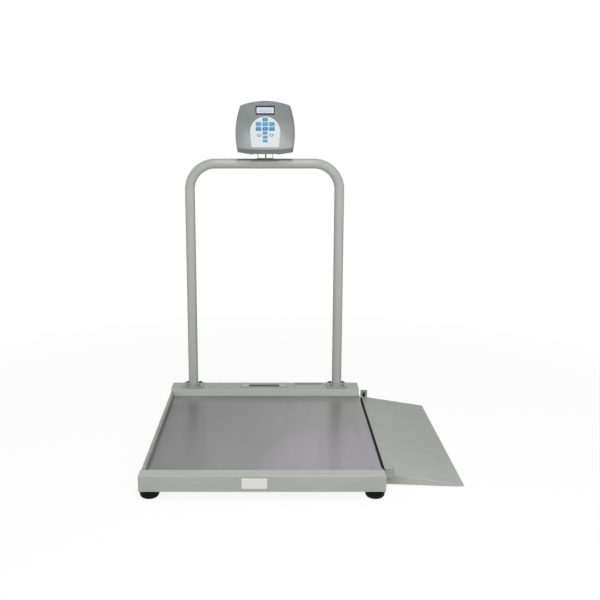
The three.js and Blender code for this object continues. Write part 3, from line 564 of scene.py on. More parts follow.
# Paler at the front, left of the middle.
front_left_pale = ramped(abs(side + 168), 20, 160, 0.06, 0) * ramped(back, 122, 622, 1, 0)
deck_tone = tinted(
    mixed(across, (113, 113, 113), (148, 148, 147)),
    (blue_sheen, sheen_tone),
    (ramped(broad_grain, 0.3, 0.7, 0, 0.15), (126, 125, 129)),
    (shade_and_reflection, (60, 60, 61)),
    (housing_reflection, (139, 139, 138)),
    (front_left_pale + left_post_reflection, (220, 220, 220)),
    (fine_grain * 0.12, (98, 98, 100)),
)
coat(
    place,
    Base_Color=deck_tone,
    Roughness=ramped(broad_grain, 0.25, 0.75, 0.28, 0.33),
    Metallic=0.25,
    Normal=raised(fine_grain, 0.006, 0.5),
    IOR=1.5,
)
dress(["deck_mat"], deck_satin, 0.3)


# Four load cells: beams of nickel-plated steel, milled and screwed under the corners, which bend
# a little under the load.

cell_steel = streaked(
    "cell_metal",
    ((150, 152, 154), (172, 174, 176)),
    (1.4, (25, 1, 1), 3),
    (0.2, 0.8, 0.3, 0.45),
    0.9,
)
corners = ["front_left", "front_right", "rear_left", "rear_right"]
dress([f"load_cell_{corner}" for corner in corners], cell_steel, 0.6)


# The feet: moulded black rubber pads on steel studs that screw up into the load cells, with a
# hexagon to turn them by.

FOOT_X, FOOT_FRONT, FOOT_REAR, FOOT_RADIUS = 350.5, 31.5, 898.5, 30.5
CELL_BOTTOM, STUD_REACH, ROUND_SIDES = 37.2, 13.8, 72
THREAD_RADIUS, THREAD_DEEP, THREAD_HALF_PITCH = 6, 0.35, 0.5


def circle(radius, sides):
    """The points of a circle."""
    angles = [2 * math.pi * k / sides for k in range(sides)]
    return [(radius * math.cos(angle), radius * math.sin(angle)) for angle in angles]


def hexagon(radius):
    """A hexagon's outline, of as many points as the circles that it lofts to."""
    points = []
    for k in range(ROUND_SIDES):
        angle = 2 * math.pi * k / ROUND_SIDES
        reach = radius * math.cos(math.pi / 6) / math.cos((angle % (math.pi / 3)) - math.pi / 6)
        points.append((reach * math.cos(angle), reach * math.sin(angle)))
    return points


def turned(profile, lay):
    """A skin turned about an axis, from its (radius, height) profile. Radius may be an outline."""
    rings = []
    for radius, height in profile:
        outline = radius if isinstance(radius, list) else circle(max(radius, 0.01), ROUND_SIDES)
        rings.append([lay(u, v, height) for u, v in outline])
    return loft(rings)


def arc(centre, radius, first, last, steps):
    """Points of a profile on part of a circle, between two angles in degrees."""
    angles = [math.radians(first + (last - first) * k / steps) for k in range(steps + 1)]
    return [(centre[0] + radius * math.cos(a), centre[1] + radius * math.sin(a)) for a in angles]


foot_rubber, place = finish("foot_rubber")
dusty = ramped(along(place, "Z"), 1, 14, 0.12, 0) * ramped(grain(place, 9, detail=5), 0.35, 0.7)
coat(
    place,
    Base_Color=mixed(dusty, (5, 5, 5), (54, 53, 49)),
    Roughness=uneven(place, 3, 0.55, 0.7, 3),
    Specular_IOR_Level=0.15,
    Normal=raised(grain(place, 0.8), 0.04, 0.5),
)
stud_zinc = plain(
    "stud_zinc",
    ((138, 140, 140), (172, 172, 168)),
    (4, EVEN, 4),
    (2, 0.28, 0.42, 3),
    (0.9, 0.03, 0.4),
    Metallic=0.9,
)
foot_profile = (
    [(0, 1.2), (12, 1.2), (13, 0)]
    + [(u, v * 1.08) for u, v in arc((FOOT_RADIUS - 12, 12), 12, -90, -2, 16)]
    + [(FOOT_RADIUS, 14.2), (FOOT_RADIUS - 0.5, 14.7), (FOOT_RADIUS - 0.5, 15.6)]
    + [(FOOT_RADIUS, 16.1), (FOOT_RADIUS, 20.6)]
    + arc((FOOT_RADIUS - 2.5, 21.5), 2.5, 0, 84, 6)
    + [(20, 24), (19, 23.2), (12.5, 23.2), (11.8, 23.8), (0, 23.8)]
)
nut_foot, nut_side = hexagon(10.6), hexagon(11)
stud_profile = (
    [(0, 23.7), (nut_foot, 23.7), (nut_side, 24.2), (nut_side, 29.4), (nut_foot, 29.9)]
    + [(9.2, 29.95), (THREAD_RADIUS, 30)]
    + [(THREAD_RADIUS - THREAD_DEEP * (k % 2), 30.4 + THREAD_HALF_PITCH * k) for k in range(14)]
    + [(THREAD_RADIUS - 0.1, CELL_BOTTOM + STUD_REACH)]
)
for corner in corners:
    foot_x = -FOOT_X if "left" in corner else FOOT_X
    foot_y = FOOT_FRONT if "front" in corner else FOOT_REAR
    body = f"foot_{corner}_body"

    def stand(u, v, height):
        return at(foot_x + u, foot_y + v, height)

    pad = turned(foot_profile, stand)
    piece(f"foot_pad_{corner}", [pad], foot_rubber, body, [f"foot_{corner}"])
    stud = turned(stud_profile, stand)
    piece(f"foot_stud_{corner}", [stud], stud_zinc, body)


# The junction box under the housing's roof, where the four cells and the cable meet: a cast
# aluminium tray and its lid.

box_cast = plain(
    "box_cast",
    ((120, 122, 124), (142, 144, 146)),
    (5, EVEN, 4),
    (2, 0.45, 0.6),
    (1.2, 0.06, 0.5),
    Metallic=0.7,
)
dress(["junction_box", "junction_box_lid"], box_cast, 0.4)


# The handrail: one steel tube bent twice, whose ends stand in two welded flanges. Its coat of the
# grey paint is duller than the base's. Its top is painted a little darker than its posts, the
# posts' flanks carry painted shade, either side of its middle a painted highlight, and the tube
# under the readout head the head's painted shadow.

POST_LINE, POST_HALF, RAIL_HEIGHT, RAIL_BEND = 898.5, 290.8, 987.5, 100
TUBE_RADIUS, TUBE_WALL, TUBE_SIDES, BEND_STEPS = 19.05, 2, 64, 32
TUBE_TOP = RAIL_HEIGHT + TUBE_RADIUS


def bent_run(stops, steps):
    """Places and directions along straights joined by round bends, from (place, bend radius)."""
    stations = []
    for k, (here, radius) in enumerate(stops):
        here = Vector(here)
        into = (here - Vector(stops[k - 1][0])).normalized() if k else None
        out = (Vector(stops[k + 1][0]) - here).normalized() if k + 1 < len(stops) else None
        if into is None or out is None:
            stations.append((here, into or out))
            continue
        turn = into.angle(out)
        first = here - into * radius * math.tan(turn / 2)
        side = (out - into * into.dot(out)).normalized()
        for step in range(steps + 1):
            angle = turn * step / steps
            spot = first + into * radius * math.sin(angle) + side * radius * (1 - math.cos(angle))
            stations.append((spot, into * math.cos(angle) + side * math.sin(angle)))
    return stations


def tube_rings(stations, radius, sides):
    """Rings round a run, each turned as little as it can be from the last."""
    rings = []
    across = Vector((0, 1, 0))
    for spot, heading in stations:
        across = (across - heading * heading.dot(across)).normalized()
        up = heading.cross(across)
        rings.append([at(*(spot + across * u + up * v)) for u, v in circle(radius, sides)])
    return rings


rail_paint, place = finish("rail_paint")
back, high = along(place, "Y"), along(place, "Z")
off_side = abs(along(place, "X"))
# Painted shade on the posts' left and right flanks.
flank_shade = ramped(abs(off_side - POST_HALF), TUBE_RADIUS - 7.5, TUBE_RADIUS - 1.5, 0, 0.25)
flank_shade = flank_shade * ramped(high, 840, 970, 1, 0)
# A painted highlight along the top on either side of the middle.
tube_highlight = band(high, RAIL_HEIGHT + 0.5, RAIL_HEIGHT + 6.5, TUBE_TOP - 7, TUBE_TOP - 4)
tube_highlight = tube_highlight * band(off_side, 100, 125, 180, 220) * 0.5
# The readout head's painted shadow on the tube under it.
near_head = ramped(high, RAIL_HEIGHT + 3.5, TUBE_TOP - 6) * ramped(off_side, 45, 75, 1, 0)
head_shadow = near_head.maths("MAXIMUM", ramped(high, TUBE_TOP - 10, TUBE_TOP - 4))
head_shadow = head_shadow * ramped(off_side, 100, 112, 0.85, 0)
head_shadow = head_shadow * ramped(high, TUBE_TOP - 0.35, TUBE_TOP + 0.85, 1, 0)
shadow_below_head = ramped(high, RAIL_HEIGHT - 7.5, RAIL_HEIGHT - 0.5) * ramped(off_side, 40, 110, 0.22, 0)
shadow_below_head = shadow_below_head * (high < TUBE_TOP + 2)
head_shadow = head_shadow.maths("MAXIMUM", shadow_below_head)
head_shadow = head_shadow * ramped(back, POST_LINE + 2.25, POST_LINE + 10.25, 1, 0)
rail_tone = tinted(
    # Painted light: the horizontal top a little darker than the posts.
    mixed(ramped(high, 860, 970), (172, 175, 169), (165, 168, 162)),
    (uneven(place, 260, 0, 0.3, 3), (176, 179, 173)),
    (flank_shade, (76, 78, 74)),
    (tube_highlight, (198, 201, 195)),
    (head_shadow, (76, 78, 74)),
    (rub_marks(place), (184, 186, 182)),
)
powder_coat(place, rail_tone, Specular_IOR_Level=0.15)
post_foot = HOUSING_TOP + 0.3
handrail_run = bent_run(
    [
        ((-POST_HALF, POST_LINE, post_foot), 0),
        ((-POST_HALF, POST_LINE, RAIL_HEIGHT), RAIL_BEND),
        ((POST_HALF, POST_LINE, RAIL_HEIGHT), RAIL_BEND),
        ((POST_HALF, POST_LINE, post_foot), 0),
    ],
    BEND_STEPS,
)
tube_skin = tube_rings(handrail_run, TUBE_RADIUS, TUBE_SIDES)
tube_skin += reversed(tube_rings(handrail_run, TUBE_RADIUS - TUBE_WALL, TUBE_SIDES))
tube_skin = loft(tube_skin, hollow=True)
piece("handrail", [tube_skin], rail_paint, "base", ["handrail_tube"])
dress(["handrail_flange_left", "handrail_flange_right"], grey_paint, 0.7)


# Eight button-head screws that hold the flanges down, black with a hexagon socket. The four at
# the front have a lighter copy of the black finish, painted as lit.

BOLT_SPREAD, FLANGE_TOP = 25, 99.6
black_steel = plain(
    "black_steel",
    ((44, 45, 42), (66, 67, 63)),
    (3, EVEN, 4),
    (2, 0.34, 0.5),
    (0.8, 0.03, 0.5),
    Metallic=0.6,
)
lit_steel = plain(
    "lit_steel",
    ((104, 106, 103), (126, 128, 124)),
    (3, EVEN, 4),
    (2, 0.36, 0.5),
    (0.8, 0.03, 0.5),
    Metallic=0.4,
)
SCREW_RADIUS, SHANK_RADIUS, SHANK_DEEP = 7, 4, 12
socket_rim, socket_side = hexagon(3.1), hexagon(2.8)
dome = [
    (SCREW_RADIUS * math.cos(a) ** 0.75, 1.4 + 3.5 * math.sin(a))
    for a in (0.2, 0.45, 0.7, 0.95, 1.12)
]
screw_profile = (
    [(0, -SHANK_DEEP), (SHANK_RADIUS, -SHANK_DEEP), (SHANK_RADIUS, 0)]
    + [(SCREW_RADIUS - 0.3, 0), (SCREW_RADIUS, 0.3), (SCREW_RADIUS, 1.4), *dome]
    + [(3.4, 4.9), (socket_rim, 4.8), (socket_side, 4.4), (socket_side, 2.2), (0, 2)]
)
for hand, post_x in (("left", -POST_HALF), ("right", POST_HALF)):
    spots = [(a, b) for a in (-1, 1) for b in (-1, 1)]
    for number, (a, b) in enumerate(spots, 1):
        x, y = post_x + a * BOLT_SPREAD, POST_LINE + b * BOLT_SPREAD
        screw = turned(screw_profile, lambda u, v, rise: at(x + u, y + v, FLANGE_TOP + rise))
        name = f"flange_bolt_{hand}_{number}"
        # The front screws get the lighter finish, painted as lit.
        steel = lit_steel if b < 0 else black_steel
        piece(f"{name}_head", [screw], steel, "base", [name])


# The ramp: a folded steel sheet with a cheek at each end, whose ears hang on two headed pins. The
# pins sit in lugs on the platform's side, so that the ramp can be folded up. A black rubber edging
# is pressed on its hinge edge, its black also standing in for the shade in the hinge gap, and
# liners fill the slots under the pins, the rear one black, standing in for the shade inside its
# slot.
# The sheet is painted lighter towards the front and darker towards the tip and the back, the front
# cheek carries painted shade near the hinge, and its fold a painted highlight.

HINGE_LINE, EAR_FACE, RAMP_TIP = 404.75, 106.15, 645
ramp_paint, place = finish("ramp_paint")
outward, back = along(place, "X"), along(place, "Y")
# Painted shade on the front cheek near the hinge.
cheek_shade = ramped(back, EAR_FACE, EAR_FACE + 0.3, 1, 0) * ramped(outward, 412, 502, 0.6, 0)
# A painted highlight along the front cheek's fold.
fold = band(back, EAR_FACE, EAR_FACE + 0.3, EAR_FACE + 3, EAR_FACE + 4.4)
worn_tip = ramped(outward, RAMP_TIP - 17, RAMP_TIP, 0, 0.4)
worn_tip = worn_tip * ramped(grain(place, 10, (1, 4, 1), 6), 0.4, 0.7)
wheel_rub = ramped(grain(place, 26, (5, 1, 1), 6), 0.62, 0.78, 0, 0.12)
ramp_tone = tinted(
    mixed(uneven(place, 300, 0, 1, 3), (155, 157, 151), (161, 163, 157)),
    # Painted light: lighter towards the front, darker towards the tip and the back.
    (ramped(outward, 372, 632, 0, 0.7), (149, 151, 146)),
    (ramped(back, 112, 422, 0.5, 0), (169, 171, 165)),
    (ramped(back, 622, 892, 0, 0.4), (148, 149, 146)),
    (cheek_shade, (140, 142, 137)),
    (fold * ramped(outward, 422, 482), (198, 201, 194)),
    (worn_tip + wheel_rub, (184, 186, 182)),
)
powder_coat(place, ramp_tone, 0.54)
ramp_sheets = ["ramp_plate", "ramp_back_flange", "ramp_side_front", "ramp_side_rear", "ramp_rib"]
dress(ramp_sheets, ramp_paint)
dress(["hinge_bracket_front", "hinge_bracket_rear", "hinge_pin_front"], grey_paint)
dress(["hinge_pin_rear"], black_steel)

SEAL_FRONT, SEAL_REAR = 110.5, 909.5
SEAL_BEND, SEAL_INSIDE, SEAL_OUTSIDE = (393.4, 40.22), 2.5, 3.4
seal_outline = [(390.9, 12), *arc(SEAL_BEND, SEAL_INSIDE, 180, 99, 6)]
seal_outline += [(395, 42.5), (395, 42.9), (394.5, 43.3)]
seal_outline += [*arc(SEAL_BEND, SEAL_OUTSIDE, 99, 180, 6), (390, 12.3), (390.3, 12)]
seal = loft([[upright(x, z, y) for x, z in seal_outline] for y in (SEAL_FRONT, SEAL_REAR)])
# Its black also stands in for the shade in the hinge gap.
piece("ramp_seal", [seal], foot_rubber, "ramp")

LINER, LINER_HALF, LINER_EDGE = (HINGE_LINE, 46.4, 9, 9.4, 1.5), 1.3, 0.2
# The rear liner's black also stands in for the shade inside its slot.
for end, ear_y, lining in (("front", 107.5, grey_paint), ("rear", 912.5, foot_rubber)):
    liner = slab(LINER, ear_y - LINER_HALF, ear_y + LINER_HALF, LINER_EDGE, upright)
    piece(f"slot_liner_{end}", [liner], lining, "ramp")


# The head's bracket: a strap saddled on the handrail in the same grey paint, with two thin ears
# that carry the head on a steel pin, so that it tilts.

# The strap takes the handrail's finish, with its painted shadow of the head.
dress(["indicator_bracket"], rail_paint, 0.3)
dress(["tilt_pin"], stud_zinc, 0.3)


# The signal cable: a dark grey jacket, from the head through a rubber grommet into the handrail,
# down its left post and along the housing to the junction box.

PIVOT_HEIGHT = 1034
CABLE_X, CABLE_Y, CABLE_RADIUS = 4.5, 905.5, 2.5
CABLE_SIDES, CABLE_TURN, CABLE_STEPS, GROMMET_SIDES = 20, 10, 16, 40
cable_jacket = plain(
    "cable_jacket",
    ((34, 34, 33), (48, 48, 46)),
    (6, EVEN, 3),
    (2, 0.42, 0.55),
    (0.7, 0.03, 0.4),
)
cable_low, cable_back, box_side = HOUSING_TOP - 13, 926, -42.2
cable_run = bent_run(
    [
        ((CABLE_X, CABLE_Y, PIVOT_HEIGHT + 4), 0),
        ((CABLE_X, CABLE_Y, RAIL_HEIGHT), CABLE_TURN),
        ((-POST_HALF, CABLE_Y, RAIL_HEIGHT), RAIL_BEND),
        ((-POST_HALF, CABLE_Y, cable_low), CABLE_TURN),
        ((-POST_HALF, cable_back, cable_low), CABLE_TURN),
        ((box_side, cable_back, cable_low), 0),
    ],
    CABLE_STEPS,
)
cable_skin = loft(tube_rings(cable_run, CABLE_RADIUS, CABLE_SIDES))
piece("cable", [cable_skin], cable_jacket, "base", ["signal_cable"])
grommet_profile = (
    [(2.6, -1.5), (6.4, -1.5)]
    + arc((5.0, 0.7), 1.4, -20, 100, 8)
    + [(3.6, 2.0), (2.8, 2.5), (2.6, 2.2)]
)
grommet_base = RAIL_HEIGHT + math.sqrt(TUBE_RADIUS**2 - (CABLE_Y - POST_LINE) ** 2)
grommet_rings = [
    [at(CABLE_X + u, CABLE_Y + v, grommet_base + rise) for u, v in circle(radius, GROMMET_SIDES)]
    for radius, rise in grommet_profile
]
grommet = loft(grommet_rings, hollow=True)
piece("cable_grommet", [grommet], foot_rubber, "base")


# The readout head's case: two moulded grey plastic shells that meet at a seam, with a crowned
# face, a chin that slopes back under a dipping edge, and room below for the bracket's ears. The
# plastic is painted lighter to the right, with painted shade at the top, round the rim and along
# the chin's crease, and painted highlights low on the face and beside the keypad.

HEAD_X, FACE_Y, HEAD_DEPTH, SEAM = 3, 858, 66, 27
HEAD_BOTTOM, HEAD_FOOT, HEAD_CORNER, HEAD_WIDEST, HEAD_TOP = -11.4, -2.8, 172.3, 83, 189.5
TOP_HALF, WIDE_HALF, FOOT_HALF, RECESS_HALF, RECESS_DEEP = 94.5, 113, 105.5, 51, 2
CASE_WALL, CASE_EDGE, CASE_EDGE_DEEP, CROWN = 3, 6, 11, 5
CHIN_HEIGHT, CHIN_RISE, CHIN_DEEP, CHIN_SAG = 19.5, 8, 20, 0.00086
PIN_DEPTH, SHELL_GAP, HEAD_CREASE = POST_LINE - FACE_Y, 0.3, 30
SIDE_STEPS, TOP_STEPS, SLOPE_STEPS, SOLE_STEPS, TURN_STEPS, EDGE_STEPS = 48, 56, 14, 20, 10, 10
FINE_RINGS, FINE_STEP, COARSE_RINGS = 30, 0.0075, 22
WIDEST_SHARE = (HEAD_WIDEST - HEAD_FOOT) / (HEAD_CORNER - HEAD_FOOT)
SIDE_RISE = WIDE_HALF - FOOT_HALF - (TOP_HALF - FOOT_HALF) * WIDEST_SHARE


def on_head(x, height, depth):
    """A place on the head: height above its tilt pin, depth behind the middle of its face."""
    return at(HEAD_X + x, FACE_Y + depth, PIVOT_HEIGHT + height)


def bowed(first, last, rise, steps, cuts=(0, 0)):
    """Points of a shallow bow between two points, with so much cut off each end."""
    (u0, v0), (u1, v1) = first, last
    length = math.hypot(u1 - u0, v1 - v0)
    out = ((v1 - v0) / length, (u0 - u1) / length)
    points = []
    for k in range(steps + 1):
        share = (cuts[0] + (length - cuts[0] - cuts[1]) * k / steps) / length
        swell = 4 * rise * share * (1 - share)
        u, v = u0 + (u1 - u0) * share, v0 + (v1 - v0) * share
        points.append(Vector((u + out[0] * swell, v + out[1] * swell)))
    return points


def case_outline(inset=0):
    """The case from the front: bowed sides and top, round upper corners, a straight-sided foot."""
    foot, corner = (FOOT_HALF - inset, HEAD_FOOT + inset), (TOP_HALF - inset, HEAD_CORNER - inset)
    low = (RECESS_HALF, HEAD_BOTTOM + inset)
    sharp, soft = 2.5 - inset / 4, 6.5 - inset / 2
    right = bowed(foot, corner, SIDE_RISE, SIDE_STEPS, (sharp, soft))
    top_rise = HEAD_TOP - HEAD_CORNER
    top = bowed(corner, (-corner[0], corner[1]), top_rise, TOP_STEPS, (soft, soft))
    left = [Vector((-p.x, p.y)) for p in reversed(right)]
    bottom = bowed((-foot[0], foot[1]), (-low[0], low[1]), 0, SLOPE_STEPS, (sharp, 0))
    bottom += bowed((-low[0], low[1]), low, 0, SOLE_STEPS)[1:-1]
    bottom += bowed(low, foot, 0, SLOPE_STEPS, (0, sharp))
    points = []
    runs = [right, top, left, bottom]
    for k, run in enumerate(runs):
        points += run
        after = runs[(k + 1) % 4]
        heading = (run[-1] - run[-2]).normalized()
        leaving = (after[1] - after[0]).normalized()
        pull = (after[0] - run[-1]).length * 0.4
        guides = (run[-1], run[-1] + heading * pull, after[0] - leaving * pull, after[0])
        for step in range(1, TURN_STEPS):
            t = step / TURN_STEPS
            weights = ((1 - t) ** 3, 3 * t * (1 - t) ** 2, 3 * t * t * (1 - t), t**3)
            points.append(sum((g * w for g, w in zip(guides, weights)), Vector((0, 0))))
    return points


def eased(*depths, soft=0.5):
    """The largest of some depths, with the crease between them rounded off."""
    most = depths[0]
    for depth in depths[1:]:
        near = max(soft - abs(most - depth), 0) / soft
        most = max(most, depth) + near * near * soft / 4
    return most


def edge_depth(inset):
    """How far the case's round edge falls back, so far in from its outline."""
    turn = min(inset / CASE_EDGE, 1)
    return CASE_EDGE_DEEP * (1 - math.sqrt(max(1 - (1 - turn) ** 2, 0)))


def crown_at(x):
    """How far the crowned face falls back, so far from its middle."""
    return CROWN * (x / WIDE_HALF) ** 2


def face_depth(x, height, inset):
    """How far behind the middle of the face the case's front is."""
    fall = (CHIN_HEIGHT + CHIN_RISE) / CHIN_DEEP
    chin_line = HEAD_BOTTOM + CHIN_HEIGHT + CHIN_RISE * (x / FOOT_HALF) ** 2
    return eased(edge_depth(inset), crown_at(x), (chin_line - height) / fall)


def back_depth(x, height, inset):
    """How far behind the middle of the face the case's flat back is."""
    return HEAD_DEPTH - edge_depth(inset)


def case_shell(depth_of, seam, inward):
    """A shell of the case, from its inside middle round the seam to its outside middle."""
    middle = Vector((0, (HEAD_TOP + HEAD_BOTTOM) / 2))
    turns = [math.radians(90 * k / EDGE_STEPS) for k in range(EDGE_STEPS + 1)]
    insets = [CASE_EDGE * (1 - math.cos(turn)) for turn in turns]
    rings = [(case_outline(inset), inset) for inset in insets]
    last = rings[-1][0]
    shares = [1 - FINE_STEP * k for k in range(1, FINE_RINGS + 1)]
    shares += [shares[-1] * (1 - k / COARSE_RINGS) for k in range(1, COARSE_RINGS)]
    rings += [([middle + (p - middle) * s for p in last], CASE_EDGE + 1) for s in shares]
    outer = [[on_head(p.x, p.y, depth_of(p.x, p.y, inset)) for p in ring] for ring, inset in rings]
    sole, outline = case_outline(CASE_WALL), case_outline()
    inner = []
    for ring, inset in rings:
        if inset >= CASE_WALL:
            depth = [depth_of(p.x, p.y, inset - CASE_WALL) + inward * CASE_WALL for p in ring]
            inner.append([on_head(p.x, p.y, d) for p, d in zip(ring, depth)])
    seams = [[on_head(p.x, p.y, seam) for p in ring] for ring in (sole, outline)]
    return loft([*reversed(inner), *seams, *outer])


def carve(made, skins):
    """Cuts skins out of a piece of the head."""
    cutter = skinned("cutter", skins)
    cut = made.modifiers.new("cut", "BOOLEAN")
    cut.operation = "DIFFERENCE"
    cut.solver = "EXACT"
    cut.object = cutter
    bpy.context.view_layer.update()
    shaped = made.evaluated_get(bpy.context.evaluated_depsgraph_get())
    shaped = bpy.data.meshes.new_from_object(shaped)
    made.modifiers.clear()
    made.data = shaped
    bpy.data.objects.remove(cutter)
    smooth(made, HEAD_CREASE)


def prism(outline, near, far):
    """A straight-sided skin through the head between two depths."""
    return loft([[on_head(u, v, depth) for u, v in outline] for depth in (near, far)])


head_plastic, place = finish("head_plastic")
right, back, high = (along(place, axis) for axis in "XYZ")
right = right - HEAD_X
off_middle = abs(right)
sag = off_middle * off_middle
in_front = ramped(back, FACE_Y + 14, FACE_Y + 44, 1, 0)
to_right = ramped(right, -106, 99)
# A painted highlight low on the face.
lower_face_light = ramped(high, 1035, 1105, 1, 0) * in_front * (0.35 + to_right * 0.65)
# A painted highlight beside the keypad.
pad_highlight = ramped(off_middle, 60, 98, 0.5, 0) * band(high, 1030, 1075, 1085, 1130) * in_front
over_chin = high - PIVOT_HEIGHT - HEAD_BOTTOM - CHIN_HEIGHT - sag * CHIN_SAG
# Painted shade along the chin's crease.
chin_shade = ramped(over_chin, -0.7, 0.3, 0.85, 0) * ramped(back, FACE_Y + 18, FACE_Y + 26, 1, 0)
level = (high - PIVOT_HEIGHT - HEAD_FOOT) * (1 / (HEAD_CORNER - HEAD_FOOT))
half_width = FOOT_HALF - level * (FOOT_HALF - TOP_HALF) + level * (1 - level) * (4 * SIDE_RISE)
# Painted shade round the rim.
side_rim_shade = ramped(half_width - off_middle, 3, 17, 1, 0) * (0.4 + to_right * 0.15)
under_top = PIVOT_HEIGHT + HEAD_TOP - sag * ((HEAD_TOP - HEAD_CORNER) / TOP_HALF**2) - high
rim = side_rim_shade + ramped(under_top, 2, 12, 0.3, 0)
head_tone = tinted(
    # Painted light: lighter to the right.
    mixed(to_right, (122, 128, 129), (132, 137, 136)),
    (lower_face_light, (160, 166, 162)),
    # Painted shade at the top.
    (ramped(high, 1122, 1162), (114, 120, 118)),
    (pad_highlight, (176, 182, 178)),
    (chin_shade, (114, 117, 113)),
    (rim * ramped(back, FACE_Y + 10, FACE_Y + 22, 1, 0), (98, 103, 101)),
    (uneven(place, 90, 0, 0.15, 3), (156, 162, 160)),
)
coat(
    place,
    Base_Color=head_tone,
    Roughness=uneven(place, 12, 0.38, 0.46, 4),
    Normal=raised(grain(place, 0.7, detail=1), 0.03, 0.5),
    IOR=1.46,
)
shells = {}
for end, skin in (
    ("front", case_shell(face_depth, SEAM, 1)),
    ("rear", case_shell(back_depth, SEAM + SHELL_GAP, -1)),
):
    name, nodes = f"head_{end}_shell", [f"indicator_{end}_shell"]
    shells[end] = piece(name, [skin], head_plastic, "indicator", nodes, HEAD_CREASE)

# Openings in the case: the recess under it, the bracket's two slots and the cable's hole behind,
# with the four screws that close it, and the window and the twelve keys in front.

RECESS_TOP = HEAD_BOTTOM + RECESS_DEEP
OVERRUN, SLOT_LOW = 20, -30
EAR_OFFSET, EAR_SLOT_HALF, EAR_SLOT_REACH = 28.5, 1.65, 12
CABLE_SETBACK, CABLE_ROOM = 7, 6.5
flared = [(u, RECESS_TOP - 22) for u in (-71, 71)]
recess = prism([*flared, (47, RECESS_TOP), (-47, RECESS_TOP)], -OVERRUN, HEAD_DEPTH + OVERRUN)
ear_slots = []
for middle in (-EAR_OFFSET, EAR_OFFSET):
    near, far = middle - EAR_SLOT_HALF, middle + EAR_SLOT_HALF
    slot = [(near, SLOT_LOW), (far, SLOT_LOW), (far, 0), (near, 0)]
    ear_slots.append(prism(slot, PIN_DEPTH - EAR_SLOT_REACH, PIN_DEPTH + EAR_SLOT_REACH))
room = circle(CABLE_ROOM, 32)
room = [(CABLE_X - HEAD_X + u, PIN_DEPTH + CABLE_SETBACK + v) for u, v in room]
cable_hole = [[on_head(u, height, depth) for u, depth in room] for height in (SLOT_LOW, 0)]
carve(shells["rear"], [recess])
carve(shells["rear"], [*ear_slots, loft(cable_hole)])
small_rim, small_socket = hexagon(1.3), hexagon(1.2)
head_screw = [(0, -0.6), (3.2, -0.6), (3.2, 0.5), (2.9, 1.1), (2.2, 1.4)]
head_screw += [(small_rim, 1.4), (small_socket, 0.3), (0, 0.2)]
for number, (x, height) in enumerate(((-84, 28), (84, 28), (-78, 150), (78, 150)), 1):
    screw = turned(head_screw, lambda u, v, proud: on_head(x + u, height + v, HEAD_DEPTH + proud))
    piece(f"head_screw_{number}", [screw], black_steel, "indicator")

# each key: middle to the right and above the pin, width, height, corner radius
LARGE_KEY, SMALL_KEY, OVAL_KEY = (19, 12.5, 2), (15.5, 9, 2), (15, 10, 4.5)
KEYS = {"key_top": (0, 120.5, *LARGE_KEY)}
for row, height in (("upper", 103.4), ("lower", 85.2)):
    for column, x in (("left", -25.5), ("centre", 0), ("right", 25.5)):
        KEYS[f"key_{row}_{column}"] = (x, height, *LARGE_KEY)
for row, height in (("upper", 69.9), ("middle", 54.6), ("lower", 39.7)):
    KEYS[f"key_small_{row}"] = (0, height, *SMALL_KEY)
for hand, x in (("left", -23.5), ("right", 23.5)):
    KEYS[f"key_oval_{hand}"] = (x, 61.7, *OVAL_KEY)
KEY_CLEAR, WINDOW, WINDOW_CLEAR = 0.3, (0, 154.5, 72, 34, 2), 0.3


def hole(form, clear):
    """What is cut out of the case or the film for a window or a key, with so much room round it."""
    return prism(rounded(form, clear), -OVERRUN, SEAM)


key_holes = [hole(form, KEY_CLEAR) for form in KEYS.values()]
carve(shells["front"], [recess])
carve(shells["front"], [hole(WINDOW, WINDOW_CLEAR), *key_holes])


# The display: a pane with a dark blue printed border, and behind it a pale liquid-crystal module
# with its faint unlit figures. The module is given a faint painted glow.


def across_box(place, axis):
    """How far through a piece's own box a place on it is, from 0 to 1."""
    own_place = place.node("TexCoord", {}, {}, "Generated")
    return place.node("SeparateXYZ", {}, {"Vector": own_place}, axis)


window_pane, place = finish("window_pane")
pane_x, pane_z = across_box(place, "X"), across_box(place, "Z")
clear = (pane_x > 0.05) * (pane_x < 0.957) * (pane_z > 0.185) * (pane_z < 0.83)
print_tone = mixed(grain(place, 10), (13, 17, 68), (17, 21, 78))
coat(
    place,
    Base_Color=mixed(ramped(pane_z, 0.1, 0.2, 0.5, 0), print_tone, (52, 62, 108)),
    Roughness=uneven(place, 20, 0.16, 0.22),
    Alpha=1 - clear * 0.9,
    IOR=1.3,
)
PANE_DEEP, PANE_EDGE = 3, 0.3
pane = slab(WINDOW, 0, PANE_DEEP, PANE_EDGE, on_head)
piece("window_pane", [pane], window_pane, "indicator", ["display_window"])

SCREEN_X, SCREEN_HEIGHT = 2, 1187.5
screen_glass, place = finish("screen_glass")
rim = ramped(abs(along(place, "X") - SCREEN_X), 27, 31)
rim = rim.maths("MAXIMUM", ramped(abs(along(place, "Z") - SCREEN_HEIGHT), 5.5, 8.5))
screen_tone = mixed(grain(place, 25, detail=3), (206, 215, 217), (218, 226, 226))
coat(
    place,
    Base_Color=mixed(rim, screen_tone, (232, 240, 255)),
    Roughness=uneven(place, 8, 0.22, 0.3),
    # A faint painted glow, though the module is no lamp.
    Emission_Color=colour(208, 218, 218),
    Emission_Strength=0.32,
)
dress(["display_module"], screen_glass, 0.3)

